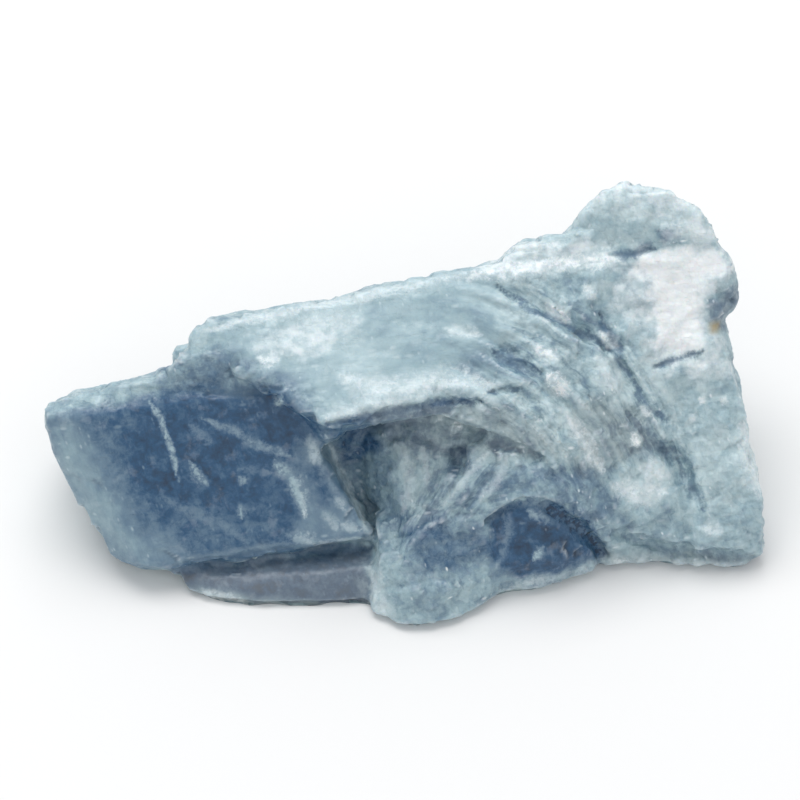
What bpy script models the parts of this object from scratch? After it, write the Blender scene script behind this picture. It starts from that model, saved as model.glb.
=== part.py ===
"""A raw chunk of blue calcite, broken along its cleavage planes and lying on a flat broken face.

Run it with blender --background --python part.py, or from Blender's text editor.
Shapes are worked out in millimetres and scaled to metres at the end. X runs along the chunk,
Y runs from its front to its back, and Z points up. The origin ends under the middle of the chunk.
"""

import math
import random

import bmesh
import bpy
import numpy as np
from mathutils import Matrix, Vector, noise

MM = 0.001

# The chunk from its left end to its right end, in millimetres.
STONE_LENGTH = 60.0

# How finely the surface is worked, and about how many triangles it ends with.
VOXEL = 0.42
TRIANGLES = 9900

# Calcite cleaves into rhombs whose edges meet at 78 degrees in every face. The first edge runs
# along the top of the deep blue rhomb, and its front face is one of the cleavage planes.
CLEAVAGE_ANGLE = math.radians(78.1)
TOP_EDGE = Vector((19.6, 1.6, 2.1)).normalized()
FRONT_DOWN = Vector((7.2, -7.8, -10.2)).normalized()

# Small cleavage steps that stand out of the sides and the back, chips that are missing there, and
# their sizes. They are larger well behind, and smaller and lower by this share elsewhere.
STEPS = 75
CHIPS = 65
STEP_LENGTH = (2.5, 9.0)
STEP_WIDTH = (1.5, 6.0)
STEP_HEIGHT = (0.3, 1.0)
SMALL_STEP = 0.4
LOW_STEP = 0.7

# None of them is near the base or the top, on a slope that faces the front, this near to the
# front, or on the thin left end.
BASE_MARGIN = 1.5
TOP_MARGIN = 17.5
FRONT_SLOPE = 0.0
FRONT_DEPTH = 16.0
LEFT_END = -16.0

# Well behind: a slope that faces this far away from the front, below this height, and left of
# the broken right end.
BEHIND_SLOPE = -0.35
BEHIND_HEIGHT = 12.0
BEHIND_END = 22.0

# Heights of the relief, in millimetres, and how long its waves are.
SHELL_RIDGE = 0.55
BROAD_WEAR = 0.28
BROAD_WAVE = 8.0
FINE_WEAR = 0.20
FINE_WAVE = 3.2

# Places in the noise for the ridges and the two kinds of wear, and the seed of the steps.
SHELL_SEED = 3.1
BROAD_SEED = 5.0
FINE_SEED = 1.0
STEP_SEED = 15

# The flat crystal face of the deep blue rhomb, left of these two places from nothing to full,
# keeps this share of the wear.
CRYSTAL_WEAR = 0.25
CRYSTAL_SIDE = (-2.0, -6.0)

# Each block: corners of the face that shows, and the way it runs back into the stone.
BLOCKS = {
    # The hidden heart of the stone.
    "core": ([(-15, 15, 13.5), (-4, 17, 15), (14, 17, 15.5), (25, 16, 13), (26, 12, -1), (12, 9, -1),
              (-4, 9, -1), (-17, 10, -1)],
             (0, 9, -3)),
    "upper_core": ([(-16, 17.5, 17), (8, 21.5, 20.4), (20, 21.5, 20.6), (26, 21.0, 19.5), (26, 15, 12),
                    (9, 14.5, 13), (-14, 15, 12)],
                   (0, 4, -5)),
    # The deep blue cleavage rhomb on the left, its flat top, and the shoulder above it.
    "deep_blue_rhomb": ([(-29.9, 12.4, 12.9), (-26.5, 11.6, 13.6), (-9.7, 13.6, 15.0), (-2.5, 5.8, 4.8),
                         (-21.0, 3.8, 2.6), (-23.8, 5.6, 2.2), (-27.6, 9.5, 7.5)],
                        (1.5, 6.5, -7.5)),
    "rhomb_top": ([(-29.7, 12.8, 12.6), (-26.5, 12.1, 13.6), (-9.7, 13.9, 14.9), (-12, 16, 15.0),
                   (-19.7, 14.9, 15.3), (-28.6, 13.6, 13.0)],
                  (1.5, 7, -8)),
    "shoulder": ([(-19.7, 14.2, 15.2), (-17.8, 15.6, 17.2), (-9.0, 13.0, 15.9), (-9.7, 13.7, 14.9)],
                 (2, 6, -5)),
    "shoulder_end": ([(-9.7, 13.7, 14.9), (-9.0, 13.0, 15.9), (-5.0, 9.0, 14.4), (-6.0, 9.9, 11.4)],
                     (2, 6, -5)),
    # The pale slab that slopes over the hollow, and the body under it.
    "pale_slab": ([(-17.8, 16.2, 17.6), (-16.8, 17.4, 18.6), (8.3, 21.3, 21.5), (11.0, 12.0, 15.6),
                   (5.8, 11.0, 15.8), (0.0, 9.8, 15.6), (-5.8, 8.8, 15.1), (-9.0, 12.4, 16.4)],
                  (0.5, 3.4, -4.3)),
    "slab_under": ([(-8.5, 12.6, 14.8), (-5.6, 9.4, 14.2), (0.0, 10.8, 14.6), (5.8, 12.4, 14.8),
                    (9, 13.5, 14.5), (-2, 16, 13)],
                   (0, 6, -1)),
    # The slab turns down to the right in a curved shell, with a steep face under its lip.
    "shell_1": ([(5.0, 11.2, 15.8), (10.0, 10.6, 14.7), (14.5, 14.6, 18.0), (17.0, 21.6, 22.2),
                 (8.3, 21.5, 21.8), (3, 16, 18.6)],
                (0.5, 4, -4)),
    "shell_2": ([(9.2, 10.9, 14.9), (12.8, 9.2, 12.2), (17.6, 13.2, 14.8), (18.4, 17.0, 18.0),
                 (14.5, 15.6, 18.2)],
                (0.5, 6, -4)),
    "shell_3": ([(12.2, 9.4, 12.6), (15.9, 8.4, 9.8), (19.6, 11.4, 11.8), (19.2, 14.5, 15.4),
                 (17.0, 13.5, 15.2)],
                (0.5, 6, -4)),
    "shell_4": ([(15.4, 8.7, 10.2), (17.8, 7.2, 7.2), (21.4, 9.9, 9.0), (20.6, 12.2, 11.9),
                 (19, 11.8, 12.2)],
                (0.5, 6, -4)),
    "shell_5": ([(17.4, 7.4, 7.6), (20.1, 6.1, 5.3), (23.4, 8.6, 6.5), (22.2, 10.2, 9.0),
                 (20.8, 10.1, 9.3)],
                (0.5, 6, -4)),
    "shell_bed": ([(11.5, 13.5, 16.2), (17.5, 20.8, 21.0), (22.5, 18.0, 17.2), (24.5, 12.0, 9.8),
                   (24.5, 8.0, 5.4), (20.0, 7.2, 5.2), (17.4, 8.4, 8.2), (14.2, 10.0, 11.8)],
                  (0, 6, -4)),
    "shell_under": ([(13.4, 9.6, 11.0), (15.8, 8.7, 9.6), (17.8, 7.5, 6.9), (20.2, 6.6, 4.9),
                     (22.5, 6.6, 3.6), (22.5, 6.6, -1), (17.2, 6.3, -1), (15.4, 6.4, 3.6),
                     (14.2, 7.7, 7.2)],
                    (0, 6, 0)),
    # The flat white face on the right, its foot, and the broken end behind it.
    "right_face": ([(18.0, 21.2, 21.4), (25.6, 21.7, 21.5), (25.0, 18.8, 18), (28.4, 14.3, 12.8),
                    (29.9, 8.9, 6.5), (28.6, 6.2, 3), (25.0, 6.1, 3.4), (19.5, 6.6, 4.4),
                    (16.0, 17.6, 17.6)],
                   (-1.0, 6, -4)),
    "right_foot": ([(16, 8, 4.5), (20, 6.6, 4.2), (25.0, 6.2, 3.3), (28.6, 6.2, 3), (30.2, 7.4, 3.2),
                    (29.7, 8.9, 6.5), (29.6, 6.9, -1), (28.5, 6.0, -1), (24, 6.2, -1), (16, 6.6, -1)],
                   (-1.0, 9, 0)),
    "top_block": ([(12.0, 21.6, 21.9), (16, 21.8, 22.4), (27.2, 21.8, 22.0), (28.1, 20.5, 20.2),
                   (28.1, 20.7, 17.0), (27.2, 19.9, 16.3), (24.9, 19.4, 18.6), (18.5, 19.2, 19.6)],
                  (-1.6, 6, -6)),
    "right_back": ([(23.8, 20, 18), (24.6, 20.5, 17), (27.6, 18, 10), (28, 16, 4), (27, 12, -1),
                    (22, 14, -1), (23, 16, 14)],
                   (-2.2, 8, -1)),
    # The rounded peak at the top right and the small shelf beside it.
    "peak": ([(14.2, 22.2, 21.0), (26.7, 22.0, 21.0), (26.4, 22.3, 24), (24.7, 23.7, 25.6),
              (21.3, 25, 26.9), (18.8, 25.5, 27.2), (16.6, 25, 26.2), (14.3, 23.8, 24.3)],
             (-1.0, 3.5, -6)),
    "peak_shelf": ([(8.7, 21.8, 22.3), (9.6, 22.4, 23.2), (13.4, 22.8, 23.5), (15.8, 22.6, 23.8),
                    (17, 21.6, 21.2), (8.6, 21.2, 21.0)],
                   (0, 4, -5)),
    # The hollow under the slab: its back wall, its roof, and the ribbed ramp across it.
    "hollow_wall": ([(0.2, 14.8, 13.0), (6, 14.5, 13.0), (10.5, 12.2, 12.2), (13, 9.4, 9.0),
                     (14.5, 8.4, 6.0), (6, 5.8, 5.8), (1.0, 6.0, 5.8), (-2.5, 9.8, 4.5), (-3.5, 14.8, 10)],
                    (0, 6, -1)),
    "hollow_roof": ([(3.0, 10.6, 14.6), (10.0, 10.4, 14.2), (13.0, 9.2, 11.6), (11.5, 10.2, 11.2),
                     (6, 12.2, 12.0)],
                    (0, 4, 0.2)),
    "hollow_ramp": ([(3.6, 8.0, 9.0), (5.9, 10.4, 11.4), (9.6, 10.4, 13.4), (12.6, 9.4, 11.6),
                     (15.0, 8.6, 8.4), (15.0, 7.9, 7.0), (9.2, 6.8, 8.0), (6.0, 5.2, 6.6),
                     (0.4, 3.8, 5.3), (0.2, 5.4, 6.4)],
                    (0, 6, -2.5)),
    # The lip of the shell, which arches over the dark lobe.
    "shell_lip": ([(7.2, 5.8, 6.9), (8.8, 6.0, 8.1), (10.6, 6.0, 8.9), (12.8, 6.1, 8.1), (14.3, 6.1, 6.8),
                   (15.6, 5.9, 5.0), (17.2, 6.0, 3.0), (20.0, 6.6, 4.4), (17.8, 7.2, 7.0),
                   (15.4, 8.4, 9.2), (12.5, 9.0, 11.2), (8.5, 8.8, 10.8)],
                  (0, 4, -0.4)),
    # The ledge under the rhomb and the two lobes in the middle of the front.
    "left_ledge": ([(-18.9, 4.6, 1.3), (-18.3, 3.2, 0.8), (-15.0, 1.8, -0.6), (-11.7, 0.8, -1),
                    (-3.3, 1.2, -1), (-2.4, 4.2, 2.6), (-9, 3.9, 2.2), (-11, 3.0, 1.5)],
                   (1, 11, -1.5)),
    "front_lobe": ([(-1.6, 3.4, 4.9), (-2.6, 1.2, 0.8), (-2.4, 1.0, -1), (-0.5, -0.3, 0.2),
                    (3.8, -0.1, 0.2), (7.3, 2.2, -1), (8.2, 3.4, 2.8), (7.0, 4.6, 5.6),
                    (2.4, 3.4, 5.2), (1, 1.4, 3.6), (4.5, 1.8, 3.4)],
                   (0.3, 10, -0.3)),
    "dark_lobe": ([(8.4, 6.2, 6.2), (9.6, 7.4, 7.0), (12.4, 7.4, 6.7), (14.6, 6.7, 5.6), (16.3, 6.0, 4.0),
                   (16.0, 5.6, -1), (13.3, 4.2, -1), (7.3, 2.9, -1), (8.2, 3.4, 3.6), (12.5, 4.2, 3.9)],
                  (0, 9, -0.5)),
    "lobe_bed": ([(-1.5, 5.0, 5.0), (6.0, 5.4, 6.4), (14.5, 6.4, 6.4), (15.5, 6.0, -1), (7.5, 3.6, -1),
                  (-1.5, 3.0, -1), (7.6, 3.8, 4.0)],
                 (0, 8, 0)),
    # The stepped back.
    "back_step_low": ([(-20, 17, -1), (22, 21, -1), (20, 20, 9), (-16, 17, 7)], (1, 6.5, -0.5)),
    "back_step_mid": ([(-10, 18, 6), (23, 21, 8), (22, 21, 16.5), (-8, 18.5, 14)], (1, 5.5, -2.5)),
}

# Looking at the front from 50 degrees above the floor: the way up in that view, and the way to
# the eye. Places on the front are given in this view as (x, height in the view).
LOOK_DOWN = math.radians(50)
VIEW_UP = Vector((0, math.sin(LOOK_DOWN), math.cos(LOOK_DOWN)))
VIEW_OUT = Vector((0, -math.cos(LOOK_DOWN), math.sin(LOOK_DOWN)))

# Grooves, cracks and one pit on the front: the line in that view, half its width, and its depth.
GROOVES = [
    # creases between the shell and the white face
    ([(8.3, 29.3), (13.3, 25.5), (17.5, 23.2)], 0.9, 0.45),
    ([(16.5, 25.5), (18.3, 21.0), (20.0, 16.0), (22.8, 13.8), (24.8, 9.5)], 1.1, 0.8),
    ([(8.0, 23.6), (10.8, 21.3)], 0.9, 0.5),
    ([(15.0, 9.6), (16.8, 8.6), (18.5, 7.3)], 0.6, 0.4),
    # under the edge of the slab and under the shell's lip
    ([(-6.0, 16.5), (-2.2, 17.2), (1.7, 18.0), (4.0, 18.5), (6.8, 18.6)], 0.6, 0.5),
    ([(7.4, 8.5), (8.8, 9.5), (10.6, 10.1), (12.8, 9.5), (14.3, 8.6), (15.6, 7.3), (17.0, 6.0)], 0.6, 0.5),
    # the crack across the white face
    ([(20.8, 22.2), (22.5, 22.9), (24.4, 22.8)], 0.5, 0.3),
    # the three-cornered pit and the scratches in the hollow
    ([(4.0, 14.4), (5.3, 14.6)], 0.8, 1.0),
    ([(4.9, 14.4), (4.4, 12.9)], 0.9, 1.0),
    ([(5.9, 14.0), (3.0, 10.4), (0.8, 7.6)], 0.5, 0.4),
    ([(8.2, 13.2), (5.0, 9.6), (3.0, 7.6)], 0.5, 0.4),
    ([(7.0, 15.2), (9.2, 15.0), (11.8, 14.0)], 0.6, 0.6),
    ([(7.6, 19.4), (9.5, 19.7), (11.0, 18.2)], 0.5, 0.5),
    # the recess under the right face
    ([(17.6, 7.6), (20.0, 6.7), (24.0, 6.2), (29.2, 5.8)], 0.8, 0.8),
]

# The ridges of the shell run around this place of the view, between these distances from it and
# between these angles, each pair from nothing to full.
SHELL_CENTRE = (0.0, 5.3)
SHELL_INNER = (12, 15)
SHELL_OUTER = (27, 24)
SHELL_LOW = (-12, 0)
SHELL_HIGH = (86, 62)

# Ridges across the shell for each millimetre, and one for how many degrees of turn around it.
RIDGES_PER_MM = 0.6
RIDGE_TURN = 45.0

# A groove's ends are this share of its depth, rising to full over this part of its length.
GROOVE_END = 0.35
GROOVE_RISE = 0.12

# The relief of the front starts on slopes that face it this much, from nothing to full.
FRONT_FACING = (0.05, 0.45)

STONE_COLOUR = (0.38, 0.52, 0.58, 1.0)
STONE_ROUGHNESS = 0.45
STONE_IOR = 1.6


def third_edge(a, b, angle):
    """The direction that meets both edges of a cleavage face at the rhomb's own angle."""
    flat = math.cos(angle) / (1 + a.dot(b)) * (a + b)
    normal = a.cross(b).normalized()
    return (flat + normal * math.sqrt(1 - flat.length_squared)).normalized()


def cleavage_edges():
    """The three edge directions of a rhomb; two of them lie in the blue front face."""
    normal = TOP_EDGE.cross(FRONT_DOWN).normalized()
    down = Matrix.Rotation(CLEAVAGE_ANGLE, 3, normal) @ TOP_EDGE
    return TOP_EDGE, down, third_edge(TOP_EDGE, down, CLEAVAGE_ANGLE)


EDGES = cleavage_edges()


def clear_scene():
    for obj in list(bpy.data.objects):
        bpy.data.objects.remove(obj)


def mesh_from(name, shape):
    bmesh.ops.recalc_face_normals(shape, faces=shape.faces)
    mesh = bpy.data.meshes.new(name)
    shape.to_mesh(mesh)
    shape.free()
    return mesh


def block_mesh(name, face, into):
    """The convex block between a face's corners and the same corners moved back into the stone."""
    shape = bmesh.new()
    for corner in face:
        shape.verts.new(corner)
        shape.verts.new(Vector(corner) + Vector(into))
    made = bmesh.ops.convex_hull(shape, input=shape.verts)
    inner = [v for v in made["geom_interior"] if isinstance(v, bmesh.types.BMVert)]
    bmesh.ops.delete(shape, geom=inner, context="VERTS")
    return mesh_from(name, shape)


def rhomb_mesh(name, centre, lengths):
    """A small cleavage rhomb around a point, with the given edge lengths."""
    shape = bmesh.new()
    bmesh.ops.create_cube(shape, size=1.0)
    sides = [edge * length for edge, length in zip(EDGES, lengths)]
    shear = Matrix(sides).transposed().to_4x4()
    bmesh.ops.transform(shape, matrix=Matrix.Translation(centre) @ shear, verts=shape.verts)
    return mesh_from(name, shape)


def collection(name):
    folder = bpy.data.collections.new(name)
    bpy.context.scene.collection.children.link(folder)
    return folder


def helper(mesh, folder):
    """An object that only serves to shape the stone."""
    obj = bpy.data.objects.new(mesh.name, mesh)
    obj.hide_render = True
    obj.display_type = "WIRE"
    folder.objects.link(obj)


def boolean(stone, operation, folder):
    step = stone.modifiers.new(operation.lower(), "BOOLEAN")
    step.operation = operation
    step.operand_type = "COLLECTION"
    step.collection = folder
    step.solver = "EXACT"


def bake(stone):
    """Turn what the modifiers make into the object's own mesh."""
    graph = bpy.context.evaluated_depsgraph_get()
    mesh = bpy.data.meshes.new_from_object(stone.evaluated_get(graph))
    stone.modifiers.clear()
    stone.data = mesh


def random_place(dice, mesh, faces, areas):
    """A face of the mesh and a place on it, large faces more often."""
    face = dice.choices(faces, areas)[0]
    corners = [mesh.vertices[i].co for i in face.vertices]
    shares = [dice.random() for _ in corners]
    place = sum((corner * share for corner, share in zip(corners, shares)), Vector()) / sum(shares)
    return place, face.normal.copy()


def is_kept_clean(place, slope):
    low_or_high = place.z < BASE_MARGIN or place.z > TOP_MARGIN
    ahead = slope > FRONT_SLOPE or place.y < FRONT_DEPTH
    return low_or_high or ahead or place.x < LEFT_END


def scatter_rhombs(mesh, steps, chips):
    """Steps added to the broken sides and chips taken out of them, all along the cleavage."""
    dice = random.Random(STEP_SEED)
    faces = list(mesh.polygons)
    areas = [face.area for face in faces]
    count = 0
    while count < STEPS + CHIPS:
        place, normal = random_place(dice, mesh, faces, areas)
        slope = normal.dot(VIEW_OUT)
        if is_kept_clean(place, slope):
            continue
        count += 1
        behind = slope < BEHIND_SLOPE and place.z < BEHIND_HEIGHT and place.x < BEHIND_END
        size = 1.0 if behind else SMALL_STEP
        lengths = [size * dice.uniform(*STEP_LENGTH), size * dice.uniform(*STEP_WIDTH),
                   size * dice.uniform(*STEP_WIDTH)]
        height = dice.uniform(*STEP_HEIGHT) * (1.0 if behind else LOW_STEP)
        half = 0.5 * sum(abs(edge.dot(normal)) * length for edge, length in zip(EDGES, lengths))
        if count <= STEPS:
            helper(rhomb_mesh("step_%02d" % count, place + normal * (height - half), lengths), steps)
        else:
            helper(rhomb_mesh("chip_%02d" % count, place + normal * (half - height), lengths), chips)


def line_distance(points, line):
    """How far points of the view are from a broken line, and where along it the nearest place is."""
    best = np.full(len(points), np.inf)
    along = np.zeros(len(points))
    pieces = len(line) - 1
    for i in range(pieces):
        a = np.array(line[i])
        b = np.array(line[i + 1])
        share = np.clip((points - a) @ (b - a) / ((b - a) @ (b - a)), 0, 1)
        gap = np.linalg.norm(points - a - share[:, None] * (b - a), axis=1)
        nearer = gap < best
        best = np.where(nearer, gap, best)
        along = np.where(nearer, (i + share) / pieces, along)
    return best, along


def smoothstep(start, full, value):
    t = np.clip((value - start) / (full - start), 0, 1)
    return t * t * (3 - 2 * t)


def noise_at(points, wave, seed):
    """Smooth noise between about -1 and 1 with waves of the given length."""
    shift = Vector((seed, -seed, 2 * seed))
    return np.array([noise.noise(Vector(point) / wave + shift) for point in points])


def groove_relief(view):
    depth = np.zeros(len(view))
    for line, half_width, deep in GROOVES:
        gap, along = line_distance(view, line)
        ends = smoothstep(0, GROOVE_RISE, along) * smoothstep(0, GROOVE_RISE, 1 - along)
        ends = GROOVE_END + (1 - GROOVE_END) * ends
        depth += deep * ends * (1 - smoothstep(0, half_width, gap))
    return -depth


def shell_relief(view):
    """Ridges that bend around the shell's centre, sharp on top and of uneven width."""
    spoke = view - np.array(SHELL_CENTRE)
    radius = np.linalg.norm(spoke, axis=1)
    turn = np.degrees(np.arctan2(spoke[:, 1], spoke[:, 0]))
    inside = smoothstep(*SHELL_INNER, radius) * smoothstep(*SHELL_OUTER, radius)
    inside *= smoothstep(*SHELL_LOW, turn) * smoothstep(*SHELL_HIGH, turn)
    across = np.stack([RIDGES_PER_MM * radius, turn / RIDGE_TURN, np.zeros_like(turn)], axis=1)
    ridge = 0.5 - 2 * np.abs(noise_at(across, 1.0, SHELL_SEED))
    return SHELL_RIDGE * inside * ridge


def relief(mesh):
    """Move the surface along its normals: grooves, ridges of the shell, and worn unevenness."""
    count = len(mesh.vertices)
    points = np.empty(count * 3)
    normals = np.empty(count * 3)
    mesh.vertices.foreach_get("co", points)
    mesh.vertex_normals.foreach_get("vector", normals)
    points = points.reshape(-1, 3)
    normals = normals.reshape(-1, 3)
    view = np.stack([points[:, 0], points @ np.array(VIEW_UP)], axis=1)
    front = smoothstep(*FRONT_FACING, normals @ np.array(VIEW_OUT))
    crystal = smoothstep(*CRYSTAL_SIDE, points[:, 0]) * front
    wear = BROAD_WEAR * noise_at(points, BROAD_WAVE, BROAD_SEED)
    wear += FINE_WEAR * noise_at(points, FINE_WAVE, FINE_SEED)
    out = front * (groove_relief(view) + shell_relief(view))
    out += wear * (1 - (1 - CRYSTAL_WEAR) * crystal)
    mesh.vertices.foreach_set("co", (points + normals * out[:, None]).ravel())
    mesh.update()


def cut_base(mesh):
    """Slice off what lies under the floor and close the stone with one flat face."""
    shape = bmesh.new()
    shape.from_mesh(mesh)
    everything = shape.verts[:] + shape.edges[:] + shape.faces[:]
    cut = bmesh.ops.bisect_plane(shape, geom=everything, plane_co=(0, 0, 0), plane_no=(0, 0, 1),
                                 clear_inner=True)
    rim = [e for e in cut["geom_cut"] if isinstance(e, bmesh.types.BMEdge)]
    bmesh.ops.holes_fill(shape, edges=rim, sides=0)
    bmesh.ops.triangulate(shape, faces=shape.faces)
    shape.to_mesh(mesh)
    shape.free()


def drop_crumbs(mesh):
    """Keep the stone and let go of any crumb that a chip has cut free."""
    shape = bmesh.new()
    shape.from_mesh(mesh)
    left = set(shape.verts)
    bodies = []
    while left:
        body = {left.pop()}
        edge_of_body = list(body)
        while edge_of_body:
            vert = edge_of_body.pop()
            near = {edge.other_vert(vert) for edge in vert.link_edges} & left
            left -= near
            body |= near
            edge_of_body.extend(near)
        bodies.append(body)
    crumbs = [vert for body in sorted(bodies, key=len)[:-1] for vert in body]
    bmesh.ops.delete(shape, geom=crumbs, context="VERTS")
    shape.to_mesh(mesh)
    shape.free()


def to_metres(mesh):
    """Put the origin under the middle of the chunk and give it its real length."""
    corners = [vertex.co for vertex in mesh.vertices]
    low = [min(corner[axis] for corner in corners) for axis in range(3)]
    high = [max(corner[axis] for corner in corners) for axis in range(3)]
    middle = Vector(((low[0] + high[0]) / 2, (low[1] + high[1]) / 2, low[2]))
    size = STONE_LENGTH * MM / (high[0] - low[0])
    mesh.transform(Matrix.Scale(size, 4) @ Matrix.Translation(-middle))
    mesh.update()


def stone_material():
    material = bpy.data.materials.new("blue_calcite")
    material.use_nodes = True
    shader = material.node_tree.nodes["Principled BSDF"]
    shader.inputs["Base Color"].default_value = STONE_COLOUR
    shader.inputs["Roughness"].default_value = STONE_ROUGHNESS
    shader.inputs["IOR"].default_value = STONE_IOR
    return material


def build_stone():
    calcite = collection("calcite")
    blocks = collection("blocks")
    steps = collection("steps")
    chips = collection("chips")
    stone = bpy.data.objects.new("calcite_chunk", block_mesh("core", *BLOCKS["core"]))
    calcite.objects.link(stone)
    for name, (face, into) in BLOCKS.items():
        if name != "core":
            helper(block_mesh(name, face, into), blocks)
    boolean(stone, "UNION", blocks)
    bake(stone)
    scatter_rhombs(stone.data, steps, chips)
    boolean(stone, "UNION", steps)
    boolean(stone, "DIFFERENCE", chips)
    remesh = stone.modifiers.new("remesh", "REMESH")
    remesh.mode = "VOXEL"
    remesh.voxel_size = VOXEL
    soften = stone.modifiers.new("soften", "SMOOTH")
    soften.factor = 0.5
    soften.iterations = 2
    bake(stone)
    drop_crumbs(stone.data)
    relief(stone.data)
    thin = stone.modifiers.new("thin", "DECIMATE")
    thin.ratio = TRIANGLES / (2 * len(stone.data.polygons))
    bake(stone)
    cut_base(stone.data)
    drop_crumbs(stone.data)
    to_metres(stone.data)
    stone.data.name = "calcite_chunk"
    stone.data.materials.clear()
    stone.data.materials.append(stone_material())
    return stone


def remove_helpers():
    """The shaping objects aren't needed once the stone has its own mesh."""
    for name in ("blocks", "steps", "chips"):
        folder = bpy.data.collections[name]
        for obj in list(folder.objects):
            bpy.data.objects.remove(obj)
        bpy.data.collections.remove(folder)


clear_scene()
build_stone()
remove_helpers()
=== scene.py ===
"""A raw chunk of blue calcite on a pale floor, in soft light from above.

The stone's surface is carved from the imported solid: cleavage terraces, ridges of the curved shell,
broken facets, chipped edges and fine grain. Its colours follow the same places. Shapes are worked
out in millimetres of the part's drawing, which the frame holds slightly scaled and shifted.
"""

import math
import random

import bpy
import numpy as np
from mathutils import Matrix, Vector, bvhtree, kdtree, noise


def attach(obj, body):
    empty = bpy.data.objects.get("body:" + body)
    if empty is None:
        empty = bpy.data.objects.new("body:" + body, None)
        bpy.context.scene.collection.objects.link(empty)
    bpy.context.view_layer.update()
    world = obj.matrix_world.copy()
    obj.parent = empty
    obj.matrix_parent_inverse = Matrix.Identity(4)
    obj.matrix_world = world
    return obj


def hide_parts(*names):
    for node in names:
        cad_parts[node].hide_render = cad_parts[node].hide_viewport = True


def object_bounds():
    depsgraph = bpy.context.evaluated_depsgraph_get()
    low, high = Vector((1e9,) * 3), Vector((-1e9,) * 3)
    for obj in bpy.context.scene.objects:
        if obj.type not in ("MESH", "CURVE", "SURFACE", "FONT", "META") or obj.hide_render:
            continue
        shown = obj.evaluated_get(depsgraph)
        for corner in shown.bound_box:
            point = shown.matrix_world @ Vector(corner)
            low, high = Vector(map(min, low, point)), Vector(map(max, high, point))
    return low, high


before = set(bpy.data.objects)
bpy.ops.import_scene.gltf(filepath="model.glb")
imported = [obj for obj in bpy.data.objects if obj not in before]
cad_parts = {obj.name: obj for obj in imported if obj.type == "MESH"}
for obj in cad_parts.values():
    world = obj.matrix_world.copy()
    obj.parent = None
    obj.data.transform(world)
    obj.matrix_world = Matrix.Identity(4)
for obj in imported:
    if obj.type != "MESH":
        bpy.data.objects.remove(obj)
cad_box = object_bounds()

MM = 0.001

# The drawing's place in the frame: the frame is SCALE times the drawing, moved by SHIFT.
SCALE = 1.0008387 * MM
SHIFT = np.array([-0.0002909, -0.0143484, 0.0])

# The photograph looks down at the stone from this angle. Places on the front are given in that
# view as (x, height in the view), in millimetres.
LOOK_DOWN = math.radians(50)
VIEW_UP = np.array([0, math.sin(LOOK_DOWN), math.cos(LOOK_DOWN)])
VIEW_OUT = np.array([0, -math.cos(LOOK_DOWN), math.sin(LOOK_DOWN)])
VIEW_WIDTH = 66.3
VIEW_TARGET = (0.0, 16.2, 10.0)
VIEW_DISTANCE = 700.0
SENSOR = 36.0
CLIP = (0.01, 10.0)

# The lamps: place and size in metres, and power in watts. The rest is light from all around.
LIGHTS = {
    "overhead": ((-0.07, 0.18, 0.52), 0.42, 1.95),
    "front_fill": ((0.15, -0.50, 0.45), 0.50, 0.38),
}
SKY_COLOUR = (0.96, 0.98, 1.0, 1)
SKY_STRENGTH = 0.65
FLOOR_SIZE = 4.0
FLOOR_COLOUR = (0.86, 0.855, 0.85, 1)
FLOOR_ROUGHNESS = 0.7

# Calcite's cleavage rhomb as it lies in this stone.
CLEAVAGE_ANGLE = math.radians(78.1)
TOP_EDGE = Vector((19.6, 1.6, 2.1)).normalized()
FRONT_DOWN = Vector((7.2, -7.8, -10.2)).normalized()

# The ridges of the shell bend around this place of the view. Each limit of the shell, in distance
# from it or in degrees around it, goes from nothing at its first value to full at its second.
SHELL_CENTRE = np.array([0.0, 5.3])
SHELL_INNER = (11, 15)
SHELL_OUTER = (28, 25)
SHELL_FIRST = (0, 30)
SHELL_LAST = (92, 64)

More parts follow.
